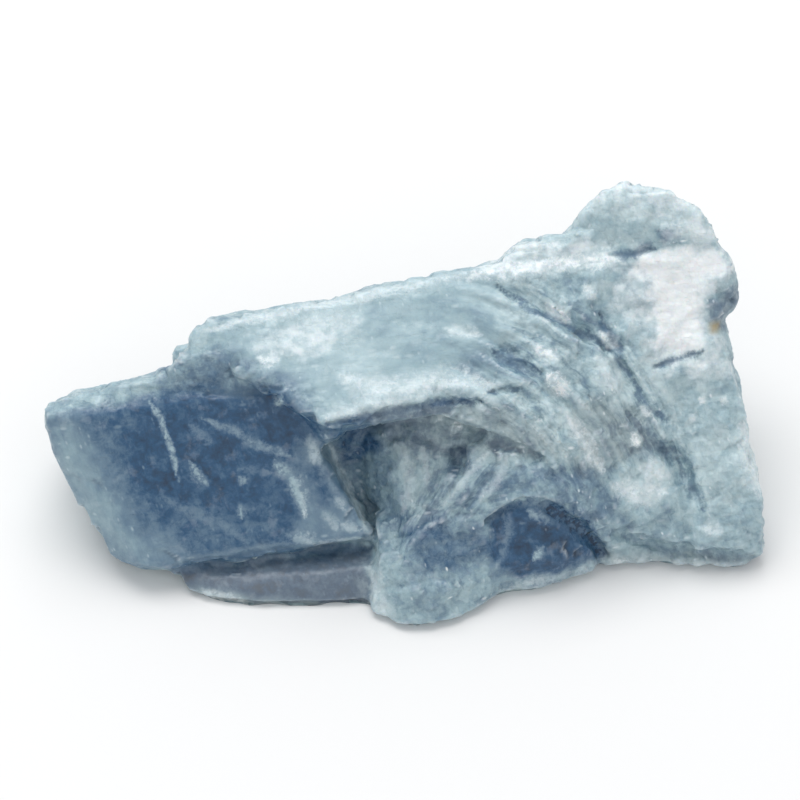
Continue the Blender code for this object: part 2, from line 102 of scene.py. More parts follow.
# Patches of colour on the front in the view: the outline, how blue it is (0 pale, 1 deep blue),
# and how soft its border is. Later ones lie over earlier ones. Some paint shade and light, as noted.
PATCHES = {
    "slab_middle": ([(-2.5, 26.8), (4.2, 26.8), (5.8, 23.5), (1.7, 21.8), (-3.3, 23)], 0.35, 1.5),
    "slab_grey": ([(3.7, 20.7), (5, 22.7), (7.5, 23.3), (9.2, 22.3), (10.3, 20.7),
        (8.3, 20.3)], 0.44, 0.7),
    "slab_blue": ([(5, 26), (7.5, 26.3), (8.3, 24.3), (6.7, 23.8)], 0.5, 0.8),
    "shell": ([(9.2, 29), (15.8, 30), (18, 26), (21.7, 17.7), (25, 9.3), (17.5, 9.3), (14.5, 13.5),
        (10.8, 18.3), (8.3, 21), (11.7, 21.8)], 0.28, 1.6),
    "shell_wedge": ([(13.3, 29), (15.8, 28.3), (17.5, 24.3), (15, 25.2)], 0.4, 0.9),
    "shell_middle": ([(15, 17.7), (20, 17.7), (21.3, 14.7), (17.5, 14)], 0.44, 1.2),
    # The shell's underside, darker partly as painted shade where it faces down.
    "shell_under": ([(10.5, 12), (13, 13.5), (16.1, 13.8), (17.4, 11.2), (18.2, 10), (20.4, 8.1),
        (22.2, 7.1), (21.5, 5), (16.8, 5.4), (16.3, 6.8), (14.8, 9), (12.1, 10.5)], 0.54, 0.7),
    "shell_white": ([(17.8, 12.2), (20, 13.6), (22.3, 13), (22.2, 11), (19, 10.8)], 0.12, 1.1),
    # The right face gets bluer from its top down to its foot, partly as painted light from above; its
    # corner, bevel and lip are darker partly as painted shade on facets that face down.
    "right_face": ([(20, 22.7), (25, 23.3), (28.7, 17.7), (30, 9.3), (25, 9.3), (22.5, 16)], 0.15, 1.2),
    "right_middle": ([(21.5, 21.6), (27.7, 21), (28.4, 17.2), (25.8, 15.8), (23.6, 15.6),
        (22.4, 17.9)], 0.28, 0.6),
    "right_low": ([(17.5, 10.6), (21, 9.9), (25.3, 9.2), (27.5, 9.7), (30, 11), (29.8, 6.8), (25.5, 6.7),
        (21.4, 7.6)], 0.33, 0.4),
    "right_corner": ([(27.7, 9), (29.8, 11.2), (30.8, 7.4), (29.8, 5.4), (28.8, 7.4)], 0.27, 0.3),
    "right_bevel": ([(17.8, 8.6), (20.4, 7.9), (22.4, 6.9), (25.9, 6.5), (29.2, 5.9), (29.2, 5.4),
        (21.7, 5.6), (17.5, 5.9)], 0.33, 0.5),
    "bottom_lip": ([(17, 5.6), (22, 5.4), (29, 5.2), (29, 4), (17, 4)], 0.42, 0.3),
    # A facet that faces away, darker partly as painted shade.
    "notch_facet": ([(24.8, 26.9), (28.2, 28.4), (28.6, 26.4), (27, 24.6), (25.2, 25.6)], 0.66, 0.4),
    "peak": ([(13.7, 33.5), (15.8, 36), (18.8, 37.8), (24.7, 35), (26, 31.7), (16.7, 31)], 0.08, 1.2),
    "peak_front": ([(14.3, 34), (17.5, 34.7), (19.7, 33.5), (20, 31.7), (16.7, 31.7),
        (15, 32.3)], 0.17, 1),
    "shelf": ([(9, 30.9), (10, 32.3), (14, 33.2), (16, 32.7), (16.6, 31.5), (12, 30.8)], 0.12, 0.6),
    # Painted shadow under the peak.
    "peak_base": ([(17, 30.7), (17.5, 31.4), (20.3, 31.6), (22.3, 31.8), (20.3, 30.9)], 0.55, 0.5),
    "peak_spot": ([(20.8, 33.1), (22.8, 33.2), (23, 32), (21.1, 31.8)], 0.72, 0.6),
    "pale_strip": ([(-30.5, 18.2), (-19.7, 22.4), (-19.7, 19.7), (-30.5, 17.2)], 0.37, 0.6),
    "shoulder": ([(-19.7, 21.3), (-14.7, 23.3), (-11.7, 22.3), (-8.3, 20.7), (-6.2, 16.7), (-9.7, 19.6),
        (-19.7, 19)], 0.55, 1.2),
    "shoulder_spot": ([(-17, 20.7), (-14.7, 21), (-14.7, 19.7), (-16.7, 19.5)], 0.74, 0.8),
    "deep_rhomb": ([(-30.5, 17.2), (-20.3, 19.2), (-9.7, 19.8), (-6.3, 16.5), (-2.7, 7.3), (-21.3, 4.5),
        (-24.2, 5.6), (-28.6, 12)], 0.9, 0.5),
    "deep_core": ([(-19.2, 18.8), (-10, 19.7), (-7.5, 16.3), (-10, 14.7), (-9, 10), (-15.8, 9.3),
        (-20.8, 11), (-22.5, 16)], 1.05, 1.6),
    # A lighter haze on the rhomb's left, partly a painted sheen.
    "rhomb_left_haze_and_sheen": ([(-30, 17.2), (-26.3, 17.7), (-22, 8.7), (-17, 5.4), (-21.3, 4.6), (-24.5, 5.5),
        (-28.8, 12.3)], 0.46, 2.2),
    "rhomb_right_haze": ([(-8.3, 15.2), (-6, 15.7), (-2.8, 7.7), (-6.7, 7), (-8.7, 7.7),
        (-7.8, 11)], 0.57, 1.1),
    "rhomb_patch": ([(-8.3, 13.3), (-6.3, 13.7), (-4.7, 11), (-6.3, 10.3)], 0.9, 0.7),
    # The hollow: its darker patches are largely painted shade, darkest in the corner under the slab.
    "hollow": ([(-6.2, 16.3), (3.3, 18.7), (8.3, 17.7), (11.7, 14.3), (8.3, 10.2), (0, 5.3),
        (-2.5, 7.3)], 0.56, 0.8),
    "hollow_corner": ([(-6.2, 16.6), (-3, 17.4), (-1.8, 15.2), (-3.6, 13.4), (-4.8, 14)], 0.97, 0.8),
    "hollow_left": ([(-4.6, 13.8), (-1, 14), (0.3, 6.7), (-2.3, 7.3)], 0.54, 0.9),
    "hollow_pale": ([(-1.3, 14.3), (3, 15), (3.7, 12.3), (2, 9.3), (0, 9.3)], 0.42, 0.9),
    "hollow_ramp": ([(5, 14.7), (10, 14.3), (15, 10.7), (9.2, 10.7), (5, 8.5), (2.5, 9)], 0.52, 1),
    "under_lip": ([(2.5, 18.2), (8.3, 18.2), (13.3, 15.2), (10.8, 14.3), (3.3, 15.2)], 0.4, 0.9),
    "pit": ([(3.2, 14.9), (6.1, 15.1), (4.3, 11.8)], 0.66, 0.25),
    "front_lobe": ([(-2.8, 5.7), (0, 7.7), (8.3, 9.3), (8.3, 3), (4.2, -0.2), (0, -0.4)], 0.38, 1),
    "lobe_foot": ([(7.5, 6.5), (11, 6), (14.8, 6), (17, 6.4), (17.4, 4), (12, 1.8), (7.5, 1)], 0.56, 0.8),
    "lobe_blue": ([(0.3, 7.7), (3.7, 9.3), (7.5, 7.7), (7, 5.2), (1.7, 4.7)], 0.76, 1.2),
    "dark_lobe": ([(7.4, 5.6), (7.4, 8.7), (8.8, 9.9), (10.6, 10.4), (12.8, 9.8), (14.3, 8.9),
        (16.6, 6.2), (15, 5.2), (12.8, 4.4), (9.8, 4.2)], 1.07, 0.5),
    # The ledge, dark partly as painted shade under the rhomb, with a paler rim at its foot.
    "ledge": ([(-18.9, 4.9), (-2.5, 6.7), (-2.2, 1), (-3, -0.9), (-15.5, -0.6), (-19.6, 2.4)], 1, 0.6),
    "ledge_rim": ([(-18.4, 3.6), (-15, 3.2), (-11, 2.7), (-6, 2.2), (-3.2, 1.9), (-3.2, -0.8),
        (-15, -0.6)], 0.4, 0.6),
}

# Patches of a warmer grey: the outline, its share, and how soft its border is.
WARM_PATCHES = {
    "under_lip": ([(-3, 17.5), (2.5, 18.4), (8.3, 18.4), (13.3, 15.2), (10.8, 14), (0, 14.2)], 0.45, 1),
    "hollow": ([(0, 14.5), (6, 15), (4, 9), (1, 8.5)], 0.2, 1),
    "shell_middle": ([(14.5, 19), (20, 18), (21.5, 14), (15, 13)], 0.45, 1.4),
    "ledge": ([(-18.9, 4.6), (-2.5, 6.4), (-2.5, 0), (-15, -0.2)], 0.6, 0.6),
    "bevel": ([(17, 6.6), (29.6, 5.8), (30, 4), (16, 4.2)], 0.5, 0.6),
    "notch_facet": (PATCHES["notch_facet"][0], 0.3, 0.4),
}

# A rusty spot beside the notch, given the same way.
OCHRE_SPOT = ([(25.5, 25.2), (26.3, 25.4), (26.2, 24.5), (25.7, 24.4)], 0.75, 0.35)

# Where crystal faces, slab, dark lobe and ledge stay clean, how clean, and with what border.
SMOOTH_PLACES = (
    (PATCHES["deep_rhomb"][0], 1, 0.8),
    ([(-16, 24), (8, 30), (9, 23.5), (5, 20.5), (-5.5, 18)], 1, 1.5),
    (PATCHES["slab_grey"][0], 0.9, 0.8),
    (PATCHES["dark_lobe"][0], 0.8, 0.6),
    (PATCHES["ledge"][0], 0.95, 0.8),
)

# The slab, where fine streaks run along its edge, and how softly they begin.
SLAB = ([(-18, 21), (-17, 25.5), (9, 31), (9, 23), (4, 19), (-6.5, 16.6), (-12, 22)], 1.5)

# The hollow, where they run towards the shell's centre.
HOLLOW = ([(-1, 16), (3, 17), (11, 15), (9, 10), (4, 8.5), (0, 6)], 1)

# White veils, given the same way: frost on the upper right and paler places of the front, some of
# them painted highlights and sheen, as noted.
FROST_AND_HIGHLIGHT_VEILS = {
    # Frost, partly a painted highlight where the light from above falls on the right face.
    "frost": ([(18.8, 30.4), (22.3, 31.3), (25.9, 31.1), (27.7, 29.7), (26.3, 28.9), (24.6, 27.5),
        (24.6, 25.9), (25.6, 23.4), (24.1, 22.7), (21.2, 22.4), (21, 25.9), (20.1, 28.4)], 1.15, 1.3),
    "frost_haze": ([(16.8, 30.6), (22, 31.8), (28.2, 30.6), (24.8, 26.9), (26.5, 23.2), (27.4, 20.4),
        (22.2, 20.8), (19, 24.4), (17.4, 28)], 0.56, 1.8),
    # The peak's top, paler as painted light from above.
    "peak": ([(13.7, 34), (15.8, 36), (18.8, 38.2), (24.9, 35.2), (27.2, 31.4), (22.6, 31.8),
        (20.4, 33.8), (17.2, 35)], 0.46, 1),
    "crest": ([(6, 28.8), (5.8, 30.4), (9.2, 32.2), (16.5, 32.2), (18.6, 31), (12.5, 29.9)], 0.5, 0.8),
    # A painted sheen on the slab's left, and a painted highlight band above its lip.
    "slab_left": ([(-12.2, 23.4), (-8, 25.6), (-3.6, 24.6), (-5.8, 22.6), (-10.5, 21.6)], 0.44, 1.4),
    "slab_band": ([(-6, 17), (-3.4, 20.4), (1.8, 21), (3.6, 20.2), (1.7, 19.4), (-2.5, 18.2)], 0.18, 1),
}

# Lines on the front in the view, each with half its width and its strength: deep blue creases and
# cracks, which are carved as well and are dark partly as painted shade in gaps, under edges and
# below steps; and milky veins, frosted edges and pale flakes, a few of them painted highlights and glints.
CRACK_AND_SHADE_LINES = [
    # The first three follow the shell's steps and are dark partly as painted shadow below each step.
    ([(8, 28.2), (10.8, 26.3), (13.3, 25.2), (15.8, 23.8), (17.2, 22.8)], 0.32, 0.75),
    ([(16.5, 26), (17.5, 23.7), (18.8, 21), (20.2, 18.7), (22, 17.2)], 0.4, 0.72),
    ([(18.8, 17.7), (20.8, 15.5), (22.8, 14.3), (24.2, 11.8), (25, 9.7)], 0.6, 0.55),
    ([(7.8, 22.7), (9.3, 22), (11.3, 21.2)], 0.55, 0.85),
    ([(7.2, 19.5), (8.3, 19.7), (9.5, 19.8)], 0.25, 0.6),
    ([(20.9, 21.6), (22.3, 22), (23.6, 22.4), (25.1, 23)], 0.28, 0.85),
    # Painted shadow along the peak's base.
    ([(17.1, 30.7), (18.6, 30.8), (21.1, 31.25)], 0.3, 0.7),
    ([(19.5, 30), (20.6, 28.2), (21, 26.5)], 0.3, 0.3),
    ([(9.7, 20), (11, 18.7), (11.7, 16.7)], 0.3, 0.5),
    ([(7.2, 15.2), (8.5, 15.5), (9.8, 14.7)], 0.35, 0.75),
    ([(12.5, 22.7), (15, 21), (15.5, 19)], 0.3, 0.45),
    # Painted shade under the shell's lip arc, and in the cleft beside the dark lobe.
    ([(7.2, 8.8), (8.8, 9.9), (10.6, 10.5), (12.8, 9.9), (14.3, 9), (15.6, 7.7), (17.2, 6)], 0.35, 1.2),
    ([(11.6, 10.1), (13.5, 9.4), (14.9, 8.3), (16.4, 6.4)], 0.85, 1.5),
    # These two are painted shade under the slab's lower edge.
    ([(-6.1, 16.8), (-2.2, 17.4), (1.7, 18.2), (3.9, 18.7), (6.7, 18.8)], 0.35, 1.1),
    ([(-5.4, 16.1), (-2, 16.8), (1.7, 17.6), (4, 18)], 0.5, 0.75),
    # Painted shade in the undercut below the rhomb's lower edge.
    ([(-18.7, 5), (-14.7, 5.7), (-4.2, 6.7)], 0.45, 0.95),
    ([(18.5, 7.6), (21.3, 6.6), (25, 6.1), (29.2, 5.7)], 0.55, 0.4),
    ([(-15.8, 19.3), (-9.7, 19.8)], 0.4, 0.95),
]
MILKY_AND_GLINT_LINES = [
    # veins in the deep blue rhomb
    ([(-20.8, 18.7), (-19.5, 17.2), (-19, 15.2), (-18.3, 12.2)], 0.22, 0.75),
    ([(-17.3, 13.7), (-15.8, 11.8)], 0.3, 0.7),
    ([(-17.3, 16.8), (-15.5, 15.2)], 0.35, 0.3),
    ([(-16.3, 17.5), (-13.3, 16), (-10.8, 14.8), (-8.8, 14.2)], 0.3, 0.55),
    ([(-10.3, 13.7), (-8.8, 12.3), (-7.8, 9.3)], 0.45, 0.75),
    ([(-19.7, 11), (-17.5, 9.7), (-15, 8.7), (-12.5, 7)], 0.4, 0.25),
    ([(-13.3, 12.4), (-12.7, 11.8)], 0.3, 0.6),
    ([(-13.3, 13), (-10, 13)], 0.4, 0.25),
    ([(-7.5, 16), (-7, 13.5)], 0.35, 0.4),
    ([(-9.2, 7.7), (-6.7, 6.8)], 0.5, 0.5),
    ([(-13.3, 10.3), (-13, 9.2)], 0.25, 0.6),
    ([(-10.2, 19), (-9.8, 18.7)], 0.45, 0.85),
    ([(-6.2, 16), (-2.5, 7.5)], 0.22, 0.45),
    ([(-6.9, 14.8), (-6.2, 12.6)], 0.3, 0.35),
    ([(-5.9, 12.4), (-4.6, 9.6)], 0.25, 0.28),
    ([(-6.3, 9.8), (-5.2, 8.2)], 0.3, 0.25),
    ([(-4.9, 8.6), (-3.4, 8)], 0.3, 0.3),
    ([(-17.5, 5.7), (-10.8, 6.7), (-2.8, 7.4)], 0.2, 0.4),
    # the slab, its edges and the crest behind it; the third is a painted highlight on the slab's left,
    # the fifth and sixth painted highlights along its lip
    ([(-11.5, 22.3), (-10, 22)], 0.5, 0.75),
    ([(-12, 23), (-8.3, 24.7), (-3.3, 25.5)], 0.9, 0.4),
    ([(-9, 24.8), (-7.3, 24.2)], 1, 0.45),
    ([(-16.7, 24.5), (-3.3, 27.3), (8.3, 29.8)], 0.35, 0.5),
    ([(-4.7, 20.7), (-0.8, 19.5), (4.2, 20.5), (8, 20)], 0.75, 0.55),
    ([(-6, 17.3), (-2.5, 18.3), (1.7, 19)], 0.6, 0.5),
    ([(3.7, 24.8), (6.7, 24.2)], 0.35, 0.5),
    ([(5.8, 28.9), (8.7, 29.5), (12.5, 30), (16.2, 30.4), (17.8, 30.4)], 0.65, 0.95),
    # flakes along the shell
    ([(12, 26.7), (14, 25.3)], 0.4, 1.19),
    ([(16.5, 24.3), (17.8, 23.2)], 0.45, 1.19),
    ([(11, 23.2), (13, 22.2)], 0.4, 0.98),
    ([(12.2, 21), (13.7, 19.3)], 0.6, 1.19),
    ([(15.2, 28.2), (16, 27.3)], 0.4, 0.84),
    ([(16.3, 22.2), (18, 19.7)], 0.8, 0.49),
    ([(13.7, 17.7), (15.3, 15.2), (16.7, 13)], 0.5, 0.7),
    ([(20, 18.3), (20.7, 17.7)], 0.4, 0.84),
    ([(19.2, 16), (19.5, 15.2)], 0.4, 1.19),
    ([(17.5, 11.7), (20, 11), (21.7, 11.3)], 0.8, 0.7),
    ([(20, 13), (22, 12.7)], 0.9, 0.63),
    # the right face and its foot, with a painted highlight down its right edge
    ([(24.8, 18.9), (25.1, 18.7)], 0.45, 0.75),
    ([(24, 17.4), (24.3, 17.2)], 0.4, 0.6),
    ([(26.5, 18.9), (26.8, 18.7)], 0.45, 0.6),
    ([(28.2, 16.8), (29.3, 13.5), (29.7, 11)], 0.8, 0.63),
    ([(25, 8.3), (26.5, 8)], 0.5, 0.49),
    ([(16.7, 5.7), (21.7, 5), (28.3, 4.8)], 0.35, 0.56),
    # the hollow and the lobes; the first two are painted glints under the lip
    ([(3.4, 17.5), (3.6, 17.2)], 0.45, 0.65),
    ([(4.5, 16.8), (5, 16.5)], 0.45, 0.8),
    ([(7.3, 14.7), (5.8, 13), (3.7, 10.3)], 0.35, 0.35),
    ([(8.7, 14.2), (8, 12.3), (6.4, 10.4)], 0.35, 0.3),
    ([(0.3, 15.2), (0.8, 12.3), (0.3, 9.4)], 0.45, 0.28),
    ([(2, 14.8), (2, 11.8)], 0.3, 0.25),
    ([(-2.8, 5.2), (-2.3, 2.7), (-0.8, 1)], 0.9, 0.45),
    ([(11.8, 6.7), (11.2, 5.6)], 0.35, 0.9),
    ([(8.5, 10), (9, 7.7), (8, 5)], 0.35, 0.35),
    ([(10.6, 9.7), (12.4, 8.8)], 0.5, 0.65),
    ([(8.3, 3), (11.7, 4), (15, 5), (16.3, 5.7)], 0.5, 0.4),
    # the ledge's rim
    ([(-18.2, 3.4), (-14.9, 1.5), (-10.8, 1.1), (-6.7, 1.2), (-3.3, 1.5)], 0.4, 0.65),
    ([(-16.2, 2.9), (-13, 2)], 0.8, 0.45),
]

# A line's soft border reaches this many times half its width, and narrows towards its ends.
LINE_REACH = 2.5
LINE_ENDS = (-0.02, 0.25)
LINE_TAPER = 0.4

# How finely the surface is worked, in millimetres, and how much of its smoothed edges is put back.
VOXEL = 0.27
SMOOTHING = 3
SHARPEN = 0.9
SHARPEN_ROUNDS = 6

# Each octave of a noise has waves so many times finer, and is weaker by this power of that.
OCTAVE_STEP = 2.1
OCTAVE_FALL = 0.8

# How straight a place faces the photograph's view, from none of an effect to all of it: terraces
# on hidden slopes, carving on the front, and the front's colours.
HIDDEN_FACING = (0.35, 0.0)
CARVED_FACING = (0.05, 0.5)
PAINTED_FACING = (-0.05, 0.25)

# Terraces: a step's height and how much of it is cut, how close to a cleavage plane the slope has
# to be, where in a step its riser lies, and how far and in what waves the steps stray.
TERRACE_STEP = 0.6
TERRACE_SHARE = 0.8
TERRACE_SLOPE = (0.80, 0.94)
TERRACE_RISER = (0.35, 0.65)
TERRACE_STRAY = 0.8
TERRACE_WAVE = 5.0
TERRACE_SEED = 11.0

# Fine ridges of the shell: their height, how many there are to a millimetre, over how many degrees
# they change, and how much with depth.
RIDGE_HEIGHT = 0.20
RIDGE_PACE = 1.7
RIDGE_TURN = 20
RIDGE_DRIFT = 0.15
RIDGE_SEED = 3.1

# Creases: their depth, and how near to the line they start and are full.
CREASE_DEPTH = 0.35
CREASE_SIDES = (0.2, 1.0)

# Broken facets, in a coarse and a fine layer: how many, how steep they lie to the surface and how
# far above or below it. They are longer along the top edge, and weaker on the clean faces.
FACET_LAYERS = ((700, 0.13, 0.07), (6000, 0.17, 0.03))
FACET_STRETCH = 2.0
FACET_BLEND = 0.09
FACET_NEIGHBOURS = 3
FACET_CALM = 0.85
FACET_SEED = 21

# Chips broken out of the edges: how many, their radius, and how far chips move a place at most.
CHIPS = 500
CHIP_RADIUS = (0.5, 1.8)
CHIP_DEPTH = 0.45
CHIP_SEED = 5

# Chips start above the foot, where the edge bulges by more than the least, and more often up to
# the most.
CHIP_FOOT = 0.6
CHIP_LEAST = 0.03
CHIP_MOST = 0.4
CHIP_ROUNDS = 8

# A chip's plane looks out like the smoothed surface, tilted by chance and pulled towards the
# cleavage. It lies at some percentile of the rim's points and takes most of what is above it.
CHIP_SMOOTHING = 10
CHIP_TILT = 0.5
CHIP_PULL = 0.35
CHIP_RIM = 0.8
CHIP_LEVEL = (60, 90)
CHIP_CUT = 0.5
CHIP_SHARE = 0.9

# A corner is sharp where the average around it lies this far off. From the first distance on it is
# worn a little, from the second fully, and the points close around it as well.
CORNER_ROUNDS = 30
CORNER_GAP = (0.30, 0.42)
CORNER_SPREAD = 4
CORNER_GAIN = 2

# Wear and grain: height, wave and seed, and how much of them the deep blue rhomb is spared.
WEAR = (0.06, 1.6, 4.0)
GRAIN = (0.03, 0.5, 8.0)
RHOMB_CALM = 0.75
RHOMB_BORDER = 0.8

# How high the tucked foot reaches, and how far it turns in.
FOOT_HEIGHT = 0.8
FOOT_TUCK = 1.3
FOOT_ROUNDS = 12

# How blue the slab is, and the sides that the photograph doesn't show, with the clouds on them:
# strength, wave, seed and octaves.
SLAB_BLUE = 0.27
SLAB_CLOUDS = (0.06, 6.0, 19.0, 3)
BODY_BLUE = 0.36
BODY_CLOUDS = (0.30, 9.0, 17.0, 4)
MOST_BLUE = 1.1

# How far the borders of patches, the lines and the streaks waver, and in what waves.
PATCH_WARP = 0.55
LINE_WARP = 0.22
FLOW_WARP = 0.45
WARP_WAVE = 2.5
WARP_SEEDS = (31.0, 37.0)

# A ray towards the view starts this far above the surface. Colours of seen places reach a little
# way into the hidden ones.
RAY_LIFT = 0.3
SEEN_ROUNDS = 12
SEEN_REACH = 3.0

# How far edges stand out and cavities lie back, from none of their colour to all of it: white on
# the edges, and painted shade in the cavities.
EDGE_BULGE = (0.03, 0.16)
CAVITY_BULGE = (0.03, 0.20)
BULGE_ROUNDS = 5

# Streaks around the shell are laid out as at this distance, with this share of the depth.
FLOW_RADIUS = 20
FLOW_DEPTH = 0.3

# Noises of the material: waves to a millimetre, detail, roughness and distortion.
NOISES = {
    "mottle": (1.1, 6.0, 0.68, 0.3),
    "wisps": (2.2, 5.0, 0.65, 0.8),
    "streaks": (1.2, 5.0, 0.6, 0.8),
    "shell_streaks": (1.0, 5.0, 0.62, 0.7),
    "fibres": (1.2, 4.0, 0.6, 0.9),
    "bands": (0.42, 3.0, 0.6, 0.6),
    "clouds": (0.22, 5.0, 0.6, 0.5),
    "breaks": (1.6, 4.0, 0.7, 0.0),
    "drift": (0.8, 4.0, 0.6, 0.1),
    "flake_fields": (0.45, 3.0, 0.55, 0.0),
    "grain": (5.0, 4.0, 0.6, 0.0),
}

# The bent ones' scales from the shell's centre outwards, around it and in depth, and how far the
# straight streaks are drawn out.
FLOW_SCALES = {
    "shell_streaks": (1.5, 0.28, 0.6),
    "fibres": (0.4, 0.5, 0.6),
    "bands": (1.0, 0.3, 1.0),
}
STREAK_LENGTH = 4.0

# What a pattern is brought to: its own low and high value, and what they turn into.
RAMPS = {
    "line_fray": (0.7, 1.3, -0.28, 0.28),
    "line_density": (0.22, 1.08),
    "line_mottle": (0.3, 0.6, 0.7, 1.0),
    "vein_and_glint_breaks": (0.38, 0.54, 0.4, 1.0),
    "clean_flecks": (0.3, 1.0, 0.0, 0.3),
    "calm_fibres": (0.0, 1.0, 1.0, 0.25),
    "cloud_shade": (0.3, 0.7, -0.07, 0.07),
    "mottle_spread": (0.28, 0.72, -1.0, 1.0),
    "block_spread": (0.1, 0.9, -1.0, 1.0),
    "streaks_spread": (0.3, 0.7, -1.0, 1.0),
    "band_shade": (0.35, 0.65, -0.12, 0.12),
    "deep_mottle": (0.35, 0.65, -0.07, 0.07),
    "deep_ground": (0.5, 0.9),
    # painted shade: the strongest dark lines go past deep blue, into the shade of the gaps
    "gap": (0.9, 1.4, 0.0, 0.35),
    "veil_drift": (0.3, 0.7, -0.24, 0.24),
    "flake_fields": (0.42, 0.62),
    "vein_and_glint_white": (0.5, 0.9, 1.0, 0.12),
    "veil_white": (0.08, 1.0),
    "veil_mottle": (0.25, 0.55, 0.8, 1.0),
    "edge_white": (0.35, 0.6, 0.08, 0.5),
    "white_streaks": (0.60, 0.76),
    "roughness": (0.3, 0.7, 0.30, 0.52),
}

# How strong patterns are on broken ground and on clean faces, as shades, as relief and as white.
# For the streaks' shade and white it is on plain and on fibrous ground.
SHADES = {"mottle": (0.15, 0.05), "block": (0.07, 0.02), "streaks": (0.04, 0.19)}
RELIEF = {"tilt": (0.34, 0.04), "mottle": (0.09, 0.02), "grain": (0.03, 0.010), "streaks": (0.07, 0.02)}
# The flakes' white, partly painted glints, on broken ground and on clean faces.
FLAKE_AND_GLINT_WHITE = (0.9, 0.05)
STREAK_WHITE = (0.05, 0.40)
# Painted shade in the cavities: how much it darkens the deepest of them.
PAINTED_CAVITY_SHADE = 0.20

# Cleavage blocks to a millimetre in the broad and the fine pattern, and how uneven they are.
BROAD_BLOCKS = 0.8
FINE_BLOCKS = 2.4
BLOCK_SPREAD = 0.9
MIDDLE_GREY = (0.5, 0.5, 0.5)

# White flakes along the top edge and down the cleavage, partly painted glints: how far they are drawn
# out, cells to a millimetre, size in the cell, and the random value from which a cell has one.
FLAKES_AND_GLINTS = ((2.2, 1.5, 0.34, 0.60), (2.0, 2.6, 0.36, 0.62))
FLAKE_CORE = 0.2

# How blue the creases are, dark partly as painted shade, and the veins with the few painted glints
# among them, and how much the haze beside such a line takes off the blue.
CREASE_AND_SHADE_BLUE = 0.86
VEIN_AND_GLINT_BLUE = 0.12
VEIN_AND_GLINT_HAZE = 0.16

# How calcite bends light, and scatters some of it just below its surface.
CALCITE_IOR = 1.6
SCATTER_SHARE = 0.35
SCATTER_RADIUS = (0.8, 1.1, 1.4)
SCATTER_SCALE = 0.7 * MM

# Colours of the stone in linear light, from pale to deep, and of what lies on it.
PALE = (0.55, 0.68, 0.71, 1)
SOFT_BLUE = (0.33, 0.465, 0.515, 1)
MID_BLUE = (0.150, 0.244, 0.328, 1)
DEEP_BLUE = (0.010, 0.078, 0.178, 1)
# painted shade of the darkest gaps
SHADED_GAP_BLUE = (0.006, 0.030, 0.070, 1)
WHITE = (0.92, 0.97, 0.99, 1)
WARM_GREY = (0.30, 0.31, 0.30, 1)
OCHRE = (0.42, 0.30, 0.10, 1)

# The shades of the tones between pale and the painted shade of the gaps, the darkest shade, and the
# most warm grey.
TONES = ((0.33, SOFT_BLUE), (0.62, MID_BLUE), (1.0, DEEP_BLUE))
DARKEST = 1.25
WARM_SHARE = 0.6

# The least length that something is divided by.
TINY = 1e-6


def third_edge(a, b, angle):
    """The direction that meets both edges of a cleavage face at the rhomb's own angle."""
    flat = math.cos(angle) / (1 + a.dot(b)) * (a + b)
    normal = a.cross(b).normalized()
    return (flat + normal * math.sqrt(1 - flat.length_squared)).normalized()


def cleavage_edges():
    """The three edge directions of a rhomb; two of them lie in the blue front face."""
    normal = TOP_EDGE.cross(FRONT_DOWN).normalized()
    down = Matrix.Rotation(CLEAVAGE_ANGLE, 3, normal) @ TOP_EDGE
    return TOP_EDGE, down, third_edge(TOP_EDGE, down, CLEAVAGE_ANGLE)


EDGES = cleavage_edges()


def cleavage_normals():
    """The normals of the three families of cleavage planes."""
    top, down, back = EDGES
    return [np.array(a.cross(b).normalized()) for a, b in ((top, down), (top, back), (down, back))]


def smoothstep(start, full, value):
    """0 up to the start and 1 from the full value on, smooth between them."""
    t = np.clip((value - start) / (full - start), 0, 1)
    return t * t * (3 - 2 * t)


def noise_at(points, wave, seed, octaves=1):
    """Smooth noise between about -1 and 1 with waves of the given length."""
    shift = Vector((seed, -seed, 2 * seed))
    places = (Vector(point) / wave + shift for point in points)
    if octaves == 1:
        return np.array([noise.noise(place) for place in places])
    return np.array([noise.fractal(place, OCTAVE_FALL, OCTAVE_STEP, octaves) for place in places])


def line_distance(view, line):
    """How far places of the view are from a broken line, and where along it the nearest place is."""
    best = np.full(len(view), np.inf)
    along = np.zeros(len(view))
    pieces = len(line) - 1
    for i in range(pieces):
        a = np.array(line[i])
        b = np.array(line[i + 1])
        share = np.clip((view - a) @ (b - a) / ((b - a) @ (b - a)), 0, 1)
        gap = np.linalg.norm(view - a - share[:, None] * (b - a), axis=1)
        nearer = gap < best
        best = np.where(nearer, gap, best)
        along = np.where(nearer, (i + share) / pieces, along)
    return best, along


def inside(view, outline, soft):
    """1 inside an outline of the view, 0 outside, with a soft border."""
    odd = np.zeros(len(view), bool)
    for a, b in zip(outline, outline[1:] + outline[:1]):
        crosses = (a[1] > view[:, 1]) != (b[1] > view[:, 1])
        slope = (b[0] - a[0]) / (b[1] - a[1]) if b[1] != a[1] else 0.0
        odd ^= crosses & (view[:, 0] < a[0] + slope * (view[:, 1] - a[1]))
    gap, _ = line_distance(view, outline + outline[:1])
    return smoothstep(-soft, soft, np.where(odd, gap, -gap))


def patch_mask(view, patches):
    """The strongest of some patches at each place."""
    mask = np.zeros(len(view))
    for outline, strength, soft in patches:
        mask = np.maximum(mask, strength * inside(view, outline, soft))
    return mask


def line_field(view, lines):
    """How near each place is to a line, 1 on it and 0 well beside it, and that line's strength."""
    near = np.zeros(len(view))
    strength = np.zeros(len(view))
    for line, half_width, power in lines:
        gap, along = line_distance(view, line)
        ends = smoothstep(*LINE_ENDS, along) * smoothstep(*LINE_ENDS, 1 - along)
        reach = LINE_REACH * half_width * (LINE_TAPER + (1 - LINE_TAPER) * ends)
        ramp = np.clip(1 - gap / reach, 0, 1)
        stronger = ramp * power > near * strength
        near = np.where(stronger, ramp, near)
        strength = np.where(stronger, power, strength)
    return near, strength


